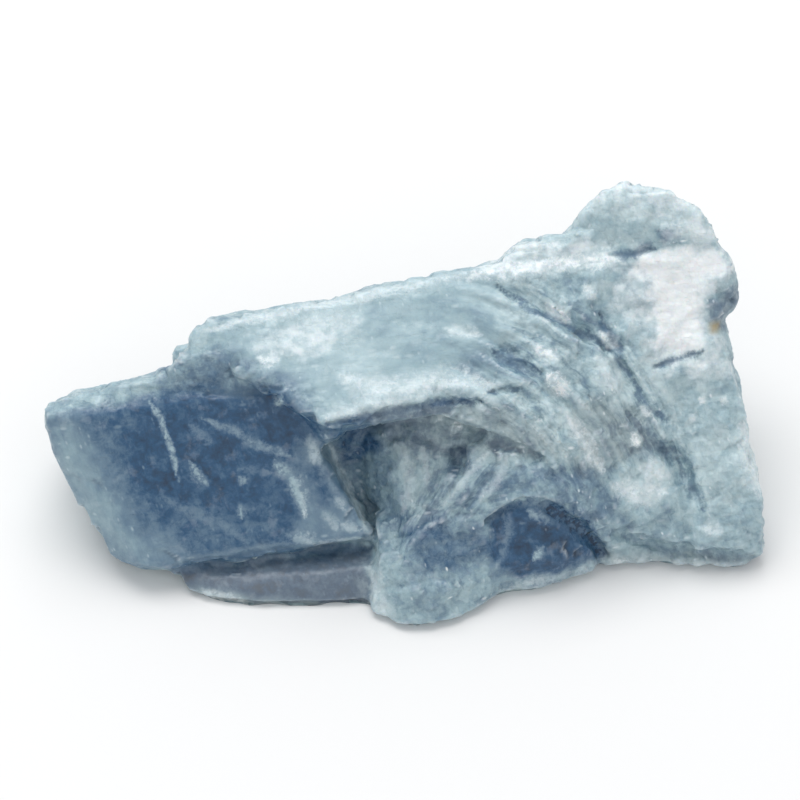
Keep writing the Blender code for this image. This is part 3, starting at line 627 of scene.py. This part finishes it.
class Surface:
    """The stone's mesh as arrays, in millimetres of the drawing."""

    def __init__(self, mesh):
        self.mesh = mesh
        count = len(mesh.vertices)
        flat = np.empty(count * 3)
        mesh.vertices.foreach_get("co", flat)
        self.points = (flat.reshape(-1, 3) - SHIFT) / SCALE
        edges = np.empty(len(mesh.edges) * 2, np.int64)
        mesh.edges.foreach_get("vertices", edges)
        self.edges = edges.reshape(-1, 2)
        self.refresh()

    def refresh(self):
        """Put the points back into the mesh and read its normals."""
        self.mesh.vertices.foreach_set("co", (self.points * SCALE + SHIFT).ravel())
        self.mesh.update()
        normals = np.empty(len(self.points) * 3)
        self.mesh.vertex_normals.foreach_get("vector", normals)
        self.normals = normals.reshape(-1, 3)

    def view(self):
        """Where each point lies in the photograph's view."""
        return np.stack([self.points[:, 0], self.points @ VIEW_UP], axis=1)

    def facing(self, limits):
        """How straight each point faces the photograph's view, brought to 0 to 1 by the limits."""
        return smoothstep(*limits, self.normals @ VIEW_OUT)

    def average(self, values, rounds):
        """Values smoothed over neighbouring points."""
        a, b = self.edges.T
        degree = np.bincount(a, minlength=len(values)) + np.bincount(b, minlength=len(values))
        shape = values.shape
        result = values.reshape(len(values), -1).astype(float)
        for _ in range(rounds):
            total = np.zeros_like(result)
            for column in range(result.shape[1]):
                total[:, column] += np.bincount(a, result[b, column], minlength=len(values))
                total[:, column] += np.bincount(b, result[a, column], minlength=len(values))
            result = 0.5 * result + 0.5 * total / np.maximum(degree, 1)[:, None]
        return result.reshape(shape)

    def bulge(self, rounds):
        """How far the surface stands out from its surroundings, in millimetres."""
        around = self.average(self.points, rounds)
        return ((self.points - around) * self.normals).sum(1)

    def raise_by(self, heights):
        """Move each point along its normal."""
        self.points += self.normals * heights[:, None]
        self.refresh()


def smooth_area(view):
    """How clean the stone is: 1 on its clean faces and 0 on broken ground."""
    return patch_mask(view, SMOOTH_PLACES)


def waver(surface):
    """How lines and borders stray from their drawn places, in the view."""
    ways = [noise_at(surface.points, WARP_WAVE, seed, octaves=3) for seed in WARP_SEEDS]
    return np.stack(ways, axis=1)


def shell_place(view):
    """Distance from the shell's centre, angle around it in degrees, and how much it is shell."""
    spoke = view - SHELL_CENTRE
    radius = np.linalg.norm(spoke, axis=1)
    turn = np.degrees(np.arctan2(spoke[:, 1], spoke[:, 0]))
    share = smoothstep(*SHELL_INNER, radius) * smoothstep(*SHELL_OUTER, radius)
    share *= smoothstep(*SHELL_FIRST, turn) * smoothstep(*SHELL_LAST, turn)
    return radius, turn, share


def corner_share(surface):
    """1 on the few corners that are sharpest, and 0 elsewhere."""
    around = surface.average(surface.points, CORNER_ROUNDS)
    gap = np.linalg.norm(surface.points - around, axis=1)
    sharp = surface.average(smoothstep(*CORNER_GAP, gap), CORNER_SPREAD)
    return np.clip(CORNER_GAIN * sharp, 0, 1)


def sharpen(surface):
    """Bring back the edges that the finer mesh has rounded."""
    surface.raise_by(SHARPEN * surface.bulge(SHARPEN_ROUNDS))


def cut_terraces(surface, normals):
    """Bring hidden slopes that lie close to a cleavage plane to flat steps along it."""
    hidden = surface.facing(HIDDEN_FACING)
    for i, normal in enumerate(normals):
        facing = np.abs(surface.normals @ normal)
        share = TERRACE_SHARE * smoothstep(*TERRACE_SLOPE, facing) * hidden
        stray = TERRACE_STRAY * noise_at(surface.points, TERRACE_WAVE, TERRACE_SEED + i)
        height = surface.points @ normal / TERRACE_STEP + stray
        floor = np.floor(height)
        step = floor + smoothstep(*TERRACE_RISER, height - floor)
        surface.points += normal * ((step - height) * TERRACE_STEP * share)[:, None]
    surface.refresh()


def carve_shell(surface):
    """Fine ridges along the shell, on top of the coarse ones of the solid."""
    front = surface.facing(CARVED_FACING)
    radius, turn, share = shell_place(surface.view())
    depth = RIDGE_DRIFT * surface.points[:, 1]
    across = np.stack([RIDGE_PACE * radius, turn / RIDGE_TURN, depth], axis=1)
    ridge = 0.5 - 2 * np.abs(noise_at(across, 1.0, RIDGE_SEED))
    surface.raise_by(RIDGE_HEIGHT * front * share * ridge)


def carve_creases(surface):
    """Grooves along the dark lines of the front."""
    near, strength = line_field(surface.view() + LINE_WARP * waver(surface), CRACK_AND_SHADE_LINES)
    front = surface.facing(CARVED_FACING)
    surface.raise_by(-CREASE_DEPTH * strength * front * smoothstep(*CREASE_SIDES, near))


def point_tree(points):
    """A tree that finds the nearest of some points."""
    tree = kdtree.KDTree(len(points))
    for i, point in enumerate(points):
        tree.insert(point, i)
    tree.balance()
    return tree


def facet_heights(surface, count, slope, offset, dice):
    """Heights of a patchwork of flat facets, each around one point of the surface."""
    squeeze = np.identity(3) + (1 / FACET_STRETCH - 1) * np.outer(TOP_EDGE, TOP_EDGE)
    places = surface.points @ squeeze
    chosen = dice.sample(range(len(places)), count)
    tilts = np.array([[dice.uniform(-1, 1) for _ in range(3)] for _ in chosen]) * slope
    offsets = np.array([dice.uniform(-1, 1) for _ in chosen]) * offset
    tree = point_tree(places[chosen])
    heights = np.zeros(len(places))
    for i, place in enumerate(places):
        found = tree.find_n(place, FACET_NEIGHBOURS)
        first = found[0][2]
        last = max(found[-1][2], TINY)
        total = 0.0
        for _, k, gap in found:
            weight = math.exp(-(gap - first) / (FACET_BLEND * last))
            step = surface.points[i] - surface.points[chosen[k]]
            heights[i] += weight * (offsets[k] + tilts[k] @ step)
            total += weight
        heights[i] /= total
    return heights


def break_facets(surface):
    """Break the ground up into small flat facets, much less on the clean crystal faces."""
    dice = random.Random(FACET_SEED)
    rough = 1 - FACET_CALM * smooth_area(surface.view())
    heights = np.zeros(len(surface.points))
    for count, slope, offset in FACET_LAYERS:
        heights += facet_heights(surface, count, slope, offset, dice)
    surface.raise_by(rough * heights)


def nearest_plane(direction, normals, pull):
    """A direction pulled towards the cleavage normal that it is closest to."""
    best = max(normals, key=lambda normal: abs(normal @ direction))
    best = best * np.sign(best @ direction)
    bent = direction * (1 - pull) + best * pull
    return bent / np.linalg.norm(bent)


def chip_edges(surface, normals):
    """Flat chips broken out of the edges that stand out most."""
    dice = random.Random(CHIP_SEED)
    smooth = surface.average(surface.normals, CHIP_SMOOTHING)
    bulge = np.clip(surface.bulge(CHIP_ROUNDS) - CHIP_LEAST, 0, CHIP_MOST)
    weights = bulge * (surface.points[:, 2] > CHIP_FOOT)
    chosen = dice.choices(range(len(weights)), weights=weights, k=CHIPS)
    tree = point_tree(surface.points)
    whole = surface.points.copy()
    for i in chosen:
        radius = dice.uniform(*CHIP_RADIUS)
        tilt = np.array([dice.uniform(-CHIP_TILT, CHIP_TILT) for _ in range(3)])
        direction = smooth[i] / max(np.linalg.norm(smooth[i]), TINY) + tilt
        direction = nearest_plane(direction / np.linalg.norm(direction), normals, CHIP_PULL)
        found = np.array([j for _, j, _ in tree.find_range(surface.points[i], radius)])
        around = surface.points[found] - surface.points[i]
        height = around @ direction
        rim = np.linalg.norm(around, axis=1) > CHIP_RIM * radius
        if not rim.any():
            continue
        level = np.percentile(height[rim], dice.uniform(*CHIP_LEVEL))
        above = np.clip(height - level, 0, CHIP_CUT)
        surface.points[found] -= direction * (CHIP_SHARE * above)[:, None]
    lost = surface.points - whole
    length = np.maximum(np.linalg.norm(lost, axis=1), TINY)
    surface.points = whole + lost * np.minimum(1, CHIP_DEPTH / length)[:, None]
    surface.refresh()


def wear_corners(surface, share):
    """The sharpest corners, where chips meet in slivers, are worn back."""
    worn = surface.average(surface.points, CORNER_ROUNDS)
    surface.points += (worn - surface.points) * share[:, None]
    surface.refresh()


def add_grain(surface):
    """Fine unevenness all over, and little of it on the deep blue rhomb."""
    wear, *wear_noise = WEAR
    grain, *grain_noise = GRAIN
    height = wear * noise_at(surface.points, *wear_noise, octaves=3)
    height += grain * noise_at(surface.points, *grain_noise)
    rhomb = inside(surface.view(), PATCHES["deep_rhomb"][0], RHOMB_BORDER)
    surface.raise_by(height * (1 - RHOMB_CALM * rhomb))


def tuck_foot(surface):
    """The lowest edge turns in a little, so the stone rests on less than its whole outline."""
    outward = surface.average(surface.normals, FOOT_ROUNDS) * np.array([1, 1, 0])
    share = smoothstep(FOOT_HEIGHT, 0, surface.points[:, 2])
    surface.points -= outward * (FOOT_TUCK * share)[:, None]
    surface.refresh()


def keep_in_box(surface, box):
    """Nothing stands out of the solid's own box."""
    low, high = ((np.array(corner) - SHIFT) / SCALE for corner in box)
    surface.points = np.clip(surface.points, low, high)
    surface.refresh()


def seen_share(surface):
    """1 where the photograph's view reaches the surface, and 0 on what the stone itself hides."""
    faces = [tuple(face.vertices) for face in surface.mesh.polygons]
    tree = bvhtree.BVHTree.FromPolygons(surface.points.tolist(), faces)
    starts = surface.points + RAY_LIFT * surface.normals
    out = Vector(VIEW_OUT)
    seen = np.array([tree.ray_cast(Vector(start), out)[0] is None for start in starts], float)
    return np.clip(SEEN_REACH * surface.average(seen, SEEN_ROUNDS), 0, 1)


def clouds(surface, strength, wave, seed, octaves):
    return strength * noise_at(surface.points, wave, seed, octaves)


def blueness_and_shade(surface, bent, front):
    """How blue each place is: the patches on the front, some of them painted shade and light, and broad
    clouds on the other sides.
    """
    blue = SLAB_BLUE + clouds(surface, *SLAB_CLOUDS)
    for outline, depth, soft in PATCHES.values():
        share = inside(bent, outline, soft)
        blue = blue * (1 - share) + depth * share
    body = BODY_BLUE + clouds(surface, *BODY_CLOUDS)
    return np.clip(body * (1 - front) + blue * front, 0, MOST_BLUE)


def flow_place(surface, radius, turn):
    """Places counted around the shell's centre, for streaks that bend with it."""
    around = turn * math.radians(FLOW_RADIUS)
    return np.stack([radius, around, FLOW_DEPTH * surface.points[:, 1]], axis=1)


def store(mesh, name, values):
    """Keep a value for each point, for the material to read."""
    kind = "FLOAT" if values.ndim == 1 else "FLOAT_VECTOR"
    layer = mesh.attributes.new(name, kind, "POINT")
    layer.data.foreach_set("value" if values.ndim == 1 else "vector", values.ravel().astype(np.float32))


def paint_places(surface):
    """Where the stone is blue, dark, milky, frosted or worn, and where shade and highlights are painted
    on it, from its shape and its patches.
    """
    view = surface.view()
    front = surface.facing(PAINTED_FACING) * seen_share(surface)
    warp = waver(surface)
    bent = view + PATCH_WARP * warp
    near = view + LINE_WARP * warp
    bulge = surface.bulge(BULGE_ROUNDS)
    radius, turn, shell = shell_place(view + FLOW_WARP * warp)
    # deep blue cracks and creases, dark partly as painted shade in gaps and under edges
    crease_and_shade, crease_and_shade_strength = line_field(near, CRACK_AND_SHADE_LINES)
    # milky veins, with a few painted glints and highlights
    vein_and_glint, vein_and_glint_strength = line_field(near, MILKY_AND_GLINT_LINES)
    places = {
        # the patches' blue, painted shade and light among them
        "blue": blueness_and_shade(surface, bent, front),
        "crease_and_shade": crease_and_shade,
        "crease_and_shade_strength": front * crease_and_shade_strength,
        "vein_and_glint": vein_and_glint,
        "vein_and_glint_strength": front * vein_and_glint_strength,
        "warm": front * patch_mask(bent, WARM_PATCHES.values()),
        "ochre": front * patch_mask(near, [OCHRE_SPOT]),
        # frost, with painted highlights and sheen among it
        "veil": front * patch_mask(bent, FROST_AND_HIGHLIGHT_VEILS.values()),
        "edge": smoothstep(*EDGE_BULGE, bulge),
        # painted shade in the hollows, by how far each place lies back
        "painted_cavity_shade": smoothstep(*CAVITY_BULGE, -bulge),
        "shell": shell * front,
        "slab": inside(view, *SLAB) * front,
        "hollow": inside(view, *HOLLOW) * front,
        "smooth": smooth_area(view) * front,
        "flow": flow_place(surface, radius, turn),
    }
    for name, values in places.items():
        store(surface.mesh, name, values)


def stone_object(node):
    """A finer copy of the solid, with its corners slightly rounded."""
    stone = bpy.data.objects.new("calcite", node.data.copy())
    bpy.context.scene.collection.objects.link(stone)
    remesh = stone.modifiers.new("remesh", "REMESH")
    remesh.mode = "VOXEL"
    remesh.voxel_size = VOXEL * MM
    soften = stone.modifiers.new("soften", "SMOOTH")
    soften.iterations = SMOOTHING
    graph = bpy.context.evaluated_depsgraph_get()
    mesh = bpy.data.meshes.new_from_object(stone.evaluated_get(graph))
    stone.modifiers.clear()
    stone.data = mesh
    mesh.name = "calcite"
    return stone


def make_stone(node, box):
    """The stone, carved and painted, in place of its solid."""
    stone = stone_object(node)
    normals = cleavage_normals()
    surface = Surface(stone.data)
    corners = corner_share(surface)
    sharpen(surface)
    cut_terraces(surface, normals)
    carve_shell(surface)
    carve_creases(surface)
    break_facets(surface)
    chip_edges(surface, normals)
    wear_corners(surface, corners)
    add_grain(surface)
    tuck_foot(surface)
    keep_in_box(surface, box)
    paint_places(surface)
    stone.data.shade_smooth()
    stone.data.materials.clear()
    stone.data.materials.append(calcite_material())
    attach(stone, "root")
    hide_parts(node.name)


class Nodes:
    """Short calls for building a material's nodes."""

    def __init__(self, material):
        material.use_nodes = True
        self.tree = material.node_tree
        self.shader = self.tree.nodes["Principled BSDF"]

    def add(self, kind, inputs=(), **settings):
        """A node with its settings, and with its inputs by name or by number."""
        node = self.tree.nodes.new(kind)
        for key, value in settings.items():
            setattr(node, key, value)
        for key, value in dict(inputs).items():
            self.set(node.inputs[key], value)
        return node

    def set(self, socket, value):
        """Link a socket to another one, or give it a value."""
        if isinstance(value, bpy.types.NodeSocket):
            self.tree.links.new(value, socket)
        else:
            socket.default_value = value

    def attribute(self, name, vector=False):
        """What paint_places has stored under a name."""
        node = self.add("ShaderNodeAttribute", attribute_name=name)
        return node.outputs["Vector" if vector else "Fac"]

    def math(self, operation, a, b=0.0, clamp=False):
        return self.add("ShaderNodeMath", {0: a, 1: b}, operation=operation, use_clamp=clamp).outputs[0]

    def product(self, a, b):
        return self.math("MULTIPLY", a, b)

    def joined(self, operation, values):
        """Values joined by one operation, in their order."""
        result = values[0]
        for value in values[1:]:
            result = self.math(operation, result, value)
        return result

    def brought(self, value, low, high, out_low=0.0, out_high=1.0):
        """A value's stretch from low to high, made smooth and brought to another stretch."""
        inputs = {"Value": value, "From Min": low, "From Max": high, "To Min": out_low, "To Max": out_high}
        return self.add("ShaderNodeMapRange", inputs, interpolation_type="SMOOTHSTEP").outputs[0]

    def ramp(self, value, name):
        return self.brought(value, *RAMPS[name])

    def mix(self, share, a, b):
        """A colour between a and b."""
        node = self.add("ShaderNodeMix", data_type="RGBA")
        self.set(node.inputs["Factor"], share)
        self.set(node.inputs[6], a)
        self.set(node.inputs[7], b)
        return node.outputs[2]

    def blend(self, share, a, b):
        """A value between a and b."""
        node = self.add("ShaderNodeMix", data_type="FLOAT")
        self.set(node.inputs["Factor"], share)
        self.set(node.inputs[2], a)
        self.set(node.inputs[3], b)
        return node.outputs[0]

    def noise(self, vector, name):
        """One of the noises in the table."""
        inputs = dict(zip(("Scale", "Detail", "Roughness", "Distortion"), NOISES[name]), Vector=vector)
        return self.add("ShaderNodeTexNoise", inputs).outputs["Fac"]

    def stretched(self, vector, scale):
        return self.add("ShaderNodeMapping", {"Vector": vector, "Scale": scale}).outputs[0]

    def dot(self, a, b):
        return self.add("ShaderNodeVectorMath", {0: a, 1: b}, operation="DOT_PRODUCT").outputs["Value"]

    def difference(self, a, b):
        return self.add("ShaderNodeVectorMath", {0: a, 1: b}, operation="SUBTRACT").outputs[0]

    def blocks(self, vector, scale):
        """Cleavage blocks: a random colour for each, and a height that tilts it its own way."""
        inputs = {"Vector": vector, "Scale": scale, "Randomness": BLOCK_SPREAD}
        cells = self.add("ShaderNodeTexVoronoi", inputs, distance="CHEBYCHEV")
        away = self.difference(vector, cells.outputs["Position"])
        tilt = self.difference(cells.outputs["Color"], MIDDLE_GREY)
        return cells.outputs["Color"], self.dot(tilt, away)

    def flakes(self, vector, scale, size, least):
        """Small flakes, partly painted glints, in those cells whose random value is above the least one,
        brighter with it.
        """
        inputs = {"Vector": vector, "Scale": scale, "Randomness": 1.0}
        cells = self.add("ShaderNodeTexVoronoi", inputs)
        spots = self.brought(cells.outputs["Distance"], size, FLAKE_CORE * size)
        return self.product(spots, self.brought(cells.outputs["Color"], least, 1.0))

    def drawn_out(self, vector, direction, length):
        """Places seen as if drawn together along a direction, so what lies on them is drawn out."""
        turn = tuple(direction.to_track_quat("X", "Z").to_euler())
        inputs = {"Vector": vector, "Rotation": turn, "Scale": (length, 1, 1)}
        return self.add("ShaderNodeMapping", inputs, vector_type="TEXTURE").outputs[0]


def flow_noise(nodes, name):
    """A noise that bends with the shell."""
    flow = nodes.attribute("flow", vector=True)
    return nodes.noise(nodes.stretched(flow, FLOW_SCALES[name]), name)


def streak_noise(nodes, place, shell):
    """Fine streaks: around the shell, along the slab's edge, and down the cleavage elsewhere."""
    ways = [nodes.noise(nodes.drawn_out(place, edge, STREAK_LENGTH), "streaks") for edge in EDGES[:2]]
    straight = nodes.blend(nodes.attribute("slab"), ways[1], ways[0])
    bent = nodes.blend(shell, straight, flow_noise(nodes, "shell_streaks"))
    return nodes.blend(nodes.attribute("hollow"), bent, flow_noise(nodes, "fibres"))


def cleavage_place(nodes, place):
    """Places counted along the three edges of the rhomb."""
    rows = np.linalg.inv(np.array(EDGES).T)
    counts = {i: nodes.dot(place, tuple(row)) for i, row in enumerate(rows)}
    return nodes.add("ShaderNodeCombineXYZ", counts).outputs[0]


def line_share(nodes, name, texture):
    """A line that is dense in its middle, fades beside it and frays along the streaks."""
    torn = nodes.math("ADD", texture["streaks"], texture["wisps"])
    frayed = nodes.math("ADD", nodes.attribute(name), nodes.ramp(torn, "line_fray"))
    dense = nodes.ramp(frayed, "line_density")
    share = nodes.product(dense, nodes.ramp(texture["mottle"], "line_mottle"))
    return nodes.product(share, nodes.attribute(name + "_strength"))


def vein_and_glint_share(nodes, place, texture):
    """Milky lines, a few of them painted glints and highlights, broken into short pieces, and faint
    flecks, partly painted glints, on the clean faces.
    """
    breaks = nodes.ramp(nodes.noise(place, "breaks"), "vein_and_glint_breaks")
    lines = nodes.product(line_share(nodes, "vein_and_glint", texture), breaks)
    clean = nodes.ramp(nodes.attribute("smooth"), "clean_flecks")
    return nodes.math("MAXIMUM", lines, nodes.product(texture["flakes"], clean))


def shade_value(nodes, place, texture, shell):
    """How blue the stone is at each point: its patches, painted shade among them, with clouds, mottling
    and streaks, and painted shade in cavities, creases and gaps.
    """
    patches = nodes.attribute("blue")
    smooth = nodes.attribute("smooth")
    fibrous = nodes.math("MAXIMUM", shell, nodes.attribute("hollow"))
    fibrous = nodes.product(fibrous, nodes.ramp(smooth, "calm_fibres"))
    layers = [patches, nodes.ramp(nodes.noise(place, "clouds"), "cloud_shade")]
    for name, ground in (("mottle", smooth), ("block", smooth), ("streaks", fibrous)):
        spread = nodes.ramp(texture[name], name + "_spread")
        layers.append(nodes.product(spread, nodes.blend(ground, *SHADES[name])))
    deep = nodes.ramp(patches, "deep_ground")
    layers += [
        nodes.product(nodes.ramp(flow_noise(nodes, "bands"), "band_shade"), shell),
        # painted shade in the cavities
        nodes.product(nodes.attribute("painted_cavity_shade"), PAINTED_CAVITY_SHADE),
        nodes.product(nodes.ramp(texture["mottle"], "deep_mottle"), deep),
    ]
    haze = nodes.product(nodes.attribute("vein_and_glint"), nodes.attribute("vein_and_glint_strength"))
    layers.append(nodes.product(haze, -VEIN_AND_GLINT_HAZE))
    shade = nodes.blend(texture["vein_and_glint"], nodes.joined("ADD", layers), VEIN_AND_GLINT_BLUE)
    # painted shade: the strongest dark lines, under the lip and the slab and in the cleft, go darker than
    # deep blue
    gap = nodes.ramp(texture["crease_and_shade"], "gap")
    return nodes.math("ADD", nodes.blend(texture["crease_and_shade"], shade, CREASE_AND_SHADE_BLUE), gap)


def white_share(nodes, place, texture, shell):
    """Milky veins, veils of frost, worn edges, streaks along the shell and small flakes; painted
    highlights, glints and sheen are among the veins, veils and flakes.
    """
    mottle = texture["mottle"]
    drift = nodes.ramp(nodes.noise(place, "drift"), "veil_drift")
    # frost, with painted highlights and sheen
    veiled = nodes.math("ADD", nodes.attribute("veil"), drift)
    fields = nodes.ramp(nodes.noise(place, "flake_fields"), "flake_fields")
    streaks = nodes.ramp(texture["streaks"], "white_streaks")
    flakes = nodes.product(fields, nodes.blend(nodes.attribute("smooth"), *FLAKE_AND_GLINT_WHITE))
    layers = (
        nodes.product(texture["vein_and_glint"], nodes.ramp(nodes.attribute("blue"), "vein_and_glint_white")),
        nodes.product(nodes.ramp(veiled, "veil_white"), nodes.ramp(mottle, "veil_mottle")),
        nodes.product(nodes.attribute("edge"), nodes.ramp(mottle, "edge_white")),
        nodes.product(streaks, nodes.blend(shell, *STREAK_WHITE)),
        nodes.product(texture["flakes"], flakes),
    )
    clear = nodes.math("SUBTRACT", 1.0, texture["crease_and_shade"], clamp=True)
    return nodes.math("MULTIPLY", nodes.joined("MAXIMUM", layers), clear, clamp=True)


def relief_height(nodes, place, texture):
    """The finest relief, in millimetres: slightly tilted blocks, mottling, grain and streaks."""
    smooth = nodes.attribute("smooth")
    heights = {**texture, "grain": nodes.noise(place, "grain")}
    layers = [nodes.product(heights[name], nodes.blend(smooth, *RELIEF[name])) for name in RELIEF]
    return nodes.joined("ADD", layers)


def stone_colour(nodes, shade, white):
    """The tone of each shade, with warm grey, white and the rusty spot on top."""
    tones = nodes.add("ShaderNodeValToRGB", {"Fac": nodes.math("DIVIDE", shade, DARKEST)})
    stops = tones.color_ramp.elements
    stops[0].position = 0.0
    stops[0].color = PALE
    # the last stop is the painted shade of the gaps
    stops[1].position = 1.0
    stops[1].color = SHADED_GAP_BLUE
    for place, colour in TONES:
        stops.new(place / DARKEST).color = colour
    warm = nodes.product(nodes.attribute("warm"), WARM_SHARE)
    colour = nodes.mix(warm, tones.outputs["Color"], WARM_GREY)
    colour = nodes.mix(white, colour, WHITE)
    return nodes.mix(nodes.attribute("ochre"), colour, OCHRE)


def stone_texture(nodes, place, shell):
    """The patterns that colour, gloss and relief share."""
    counts = cleavage_place(nodes, place)
    block, broad_tilt = nodes.blocks(counts, BROAD_BLOCKS)
    _, fine_tilt = nodes.blocks(counts, FINE_BLOCKS)
    texture = {
        "mottle": nodes.noise(place, "mottle"),
        "wisps": nodes.noise(place, "wisps"),
        "streaks": streak_noise(nodes, place, shell),
        "block": block,
        "tilt": nodes.math("ADD", broad_tilt, fine_tilt),
    }
    flakes = []
    for edge, (length, *cells) in zip(EDGES, FLAKES_AND_GLINTS):
        flakes.append(nodes.flakes(nodes.drawn_out(place, edge, length), *cells))
    # white flakes, partly painted glints
    texture["flakes"] = nodes.joined("MAXIMUM", flakes)
    # deep blue cracks and creases, dark partly as painted shade
    texture["crease_and_shade"] = line_share(nodes, "crease_and_shade", texture)
    texture["vein_and_glint"] = vein_and_glint_share(nodes, place, texture)
    return texture


def calcite_material():
    """The stone's colours, gloss, fine relief and the light that scatters below its surface."""
    material = bpy.data.materials.new("calcite")
    nodes = Nodes(material)
    metres = nodes.add("ShaderNodeTexCoord").outputs["Object"]
    place = nodes.stretched(metres, (1 / MM, 1 / MM, 1 / MM))
    shell = nodes.attribute("shell")
    texture = stone_texture(nodes, place, shell)
    shade = shade_value(nodes, place, texture, shell)
    white = white_share(nodes, place, texture, shell)

    shader = nodes.shader
    nodes.set(shader.inputs["Base Color"], stone_colour(nodes, shade, white))
    nodes.set(shader.inputs["Roughness"], nodes.ramp(texture["mottle"], "roughness"))
    height = relief_height(nodes, place, texture)
    bump = nodes.add("ShaderNodeBump", {"Height": height, "Strength": 1.0, "Distance": MM})
    nodes.set(shader.inputs["Normal"], bump.outputs["Normal"])
    shader.inputs["IOR"].default_value = CALCITE_IOR
    shader.inputs["Subsurface Weight"].default_value = SCATTER_SHARE
    shader.inputs["Subsurface Radius"].default_value = SCATTER_RADIUS
    shader.inputs["Subsurface Scale"].default_value = SCATTER_SCALE
    return material


def floor_material():
    material = bpy.data.materials.new("floor")
    material.use_nodes = True
    shader = material.node_tree.nodes["Principled BSDF"]
    shader.inputs["Base Color"].default_value = FLOOR_COLOUR
    shader.inputs["Roughness"].default_value = FLOOR_ROUGHNESS
    return material


def make_floor():
    bpy.ops.mesh.primitive_plane_add(size=FLOOR_SIZE)
    floor = bpy.context.object
    floor.name = "floor"
    floor.data.materials.append(floor_material())


def in_frame(place):
    """A place of the drawing, in metres of the frame."""
    return Vector(np.array(place) * SCALE + SHIFT)


def area_light(name, place, target, size, power):
    """A square lamp that shines at the target."""
    data = bpy.data.lights.new(name, "AREA")
    data.size = size
    data.energy = power
    light = bpy.data.objects.new(name, data)
    light.location = place
    light.rotation_euler = (target - light.location).to_track_quat("-Z", "Y").to_euler()
    bpy.context.scene.collection.objects.link(light)


def make_light():
    """The lamps, and a weak light from all around."""
    for name, (place, size, power) in LIGHTS.items():
        area_light(name, Vector(place), in_frame(VIEW_TARGET), size, power)
    world = bpy.data.worlds.new("studio")
    bpy.context.scene.world = world
    world.use_nodes = True
    background = world.node_tree.nodes["Background"]
    background.inputs["Color"].default_value = SKY_COLOUR
    background.inputs["Strength"].default_value = SKY_STRENGTH


def make_camera():
    """The photograph's view, from far away and above the front."""
    data = bpy.data.cameras.new("camera")
    camera = bpy.data.objects.new("camera", data)
    bpy.context.scene.collection.objects.link(camera)
    out = Vector(VIEW_OUT)
    camera.location = in_frame(VIEW_TARGET) + out * VIEW_DISTANCE * MM
    camera.rotation_euler = (-out).to_track_quat("-Z", "Y").to_euler()
    data.sensor_width = SENSOR
    data.lens = SENSOR * VIEW_DISTANCE / VIEW_WIDTH
    data.clip_start, data.clip_end = CLIP
    bpy.context.scene.camera = camera
    bpy.context.scene.view_settings.view_transform = "Standard"


make_stone(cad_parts["calcite_chunk"], cad_box)
make_floor()
make_light()
make_camera()
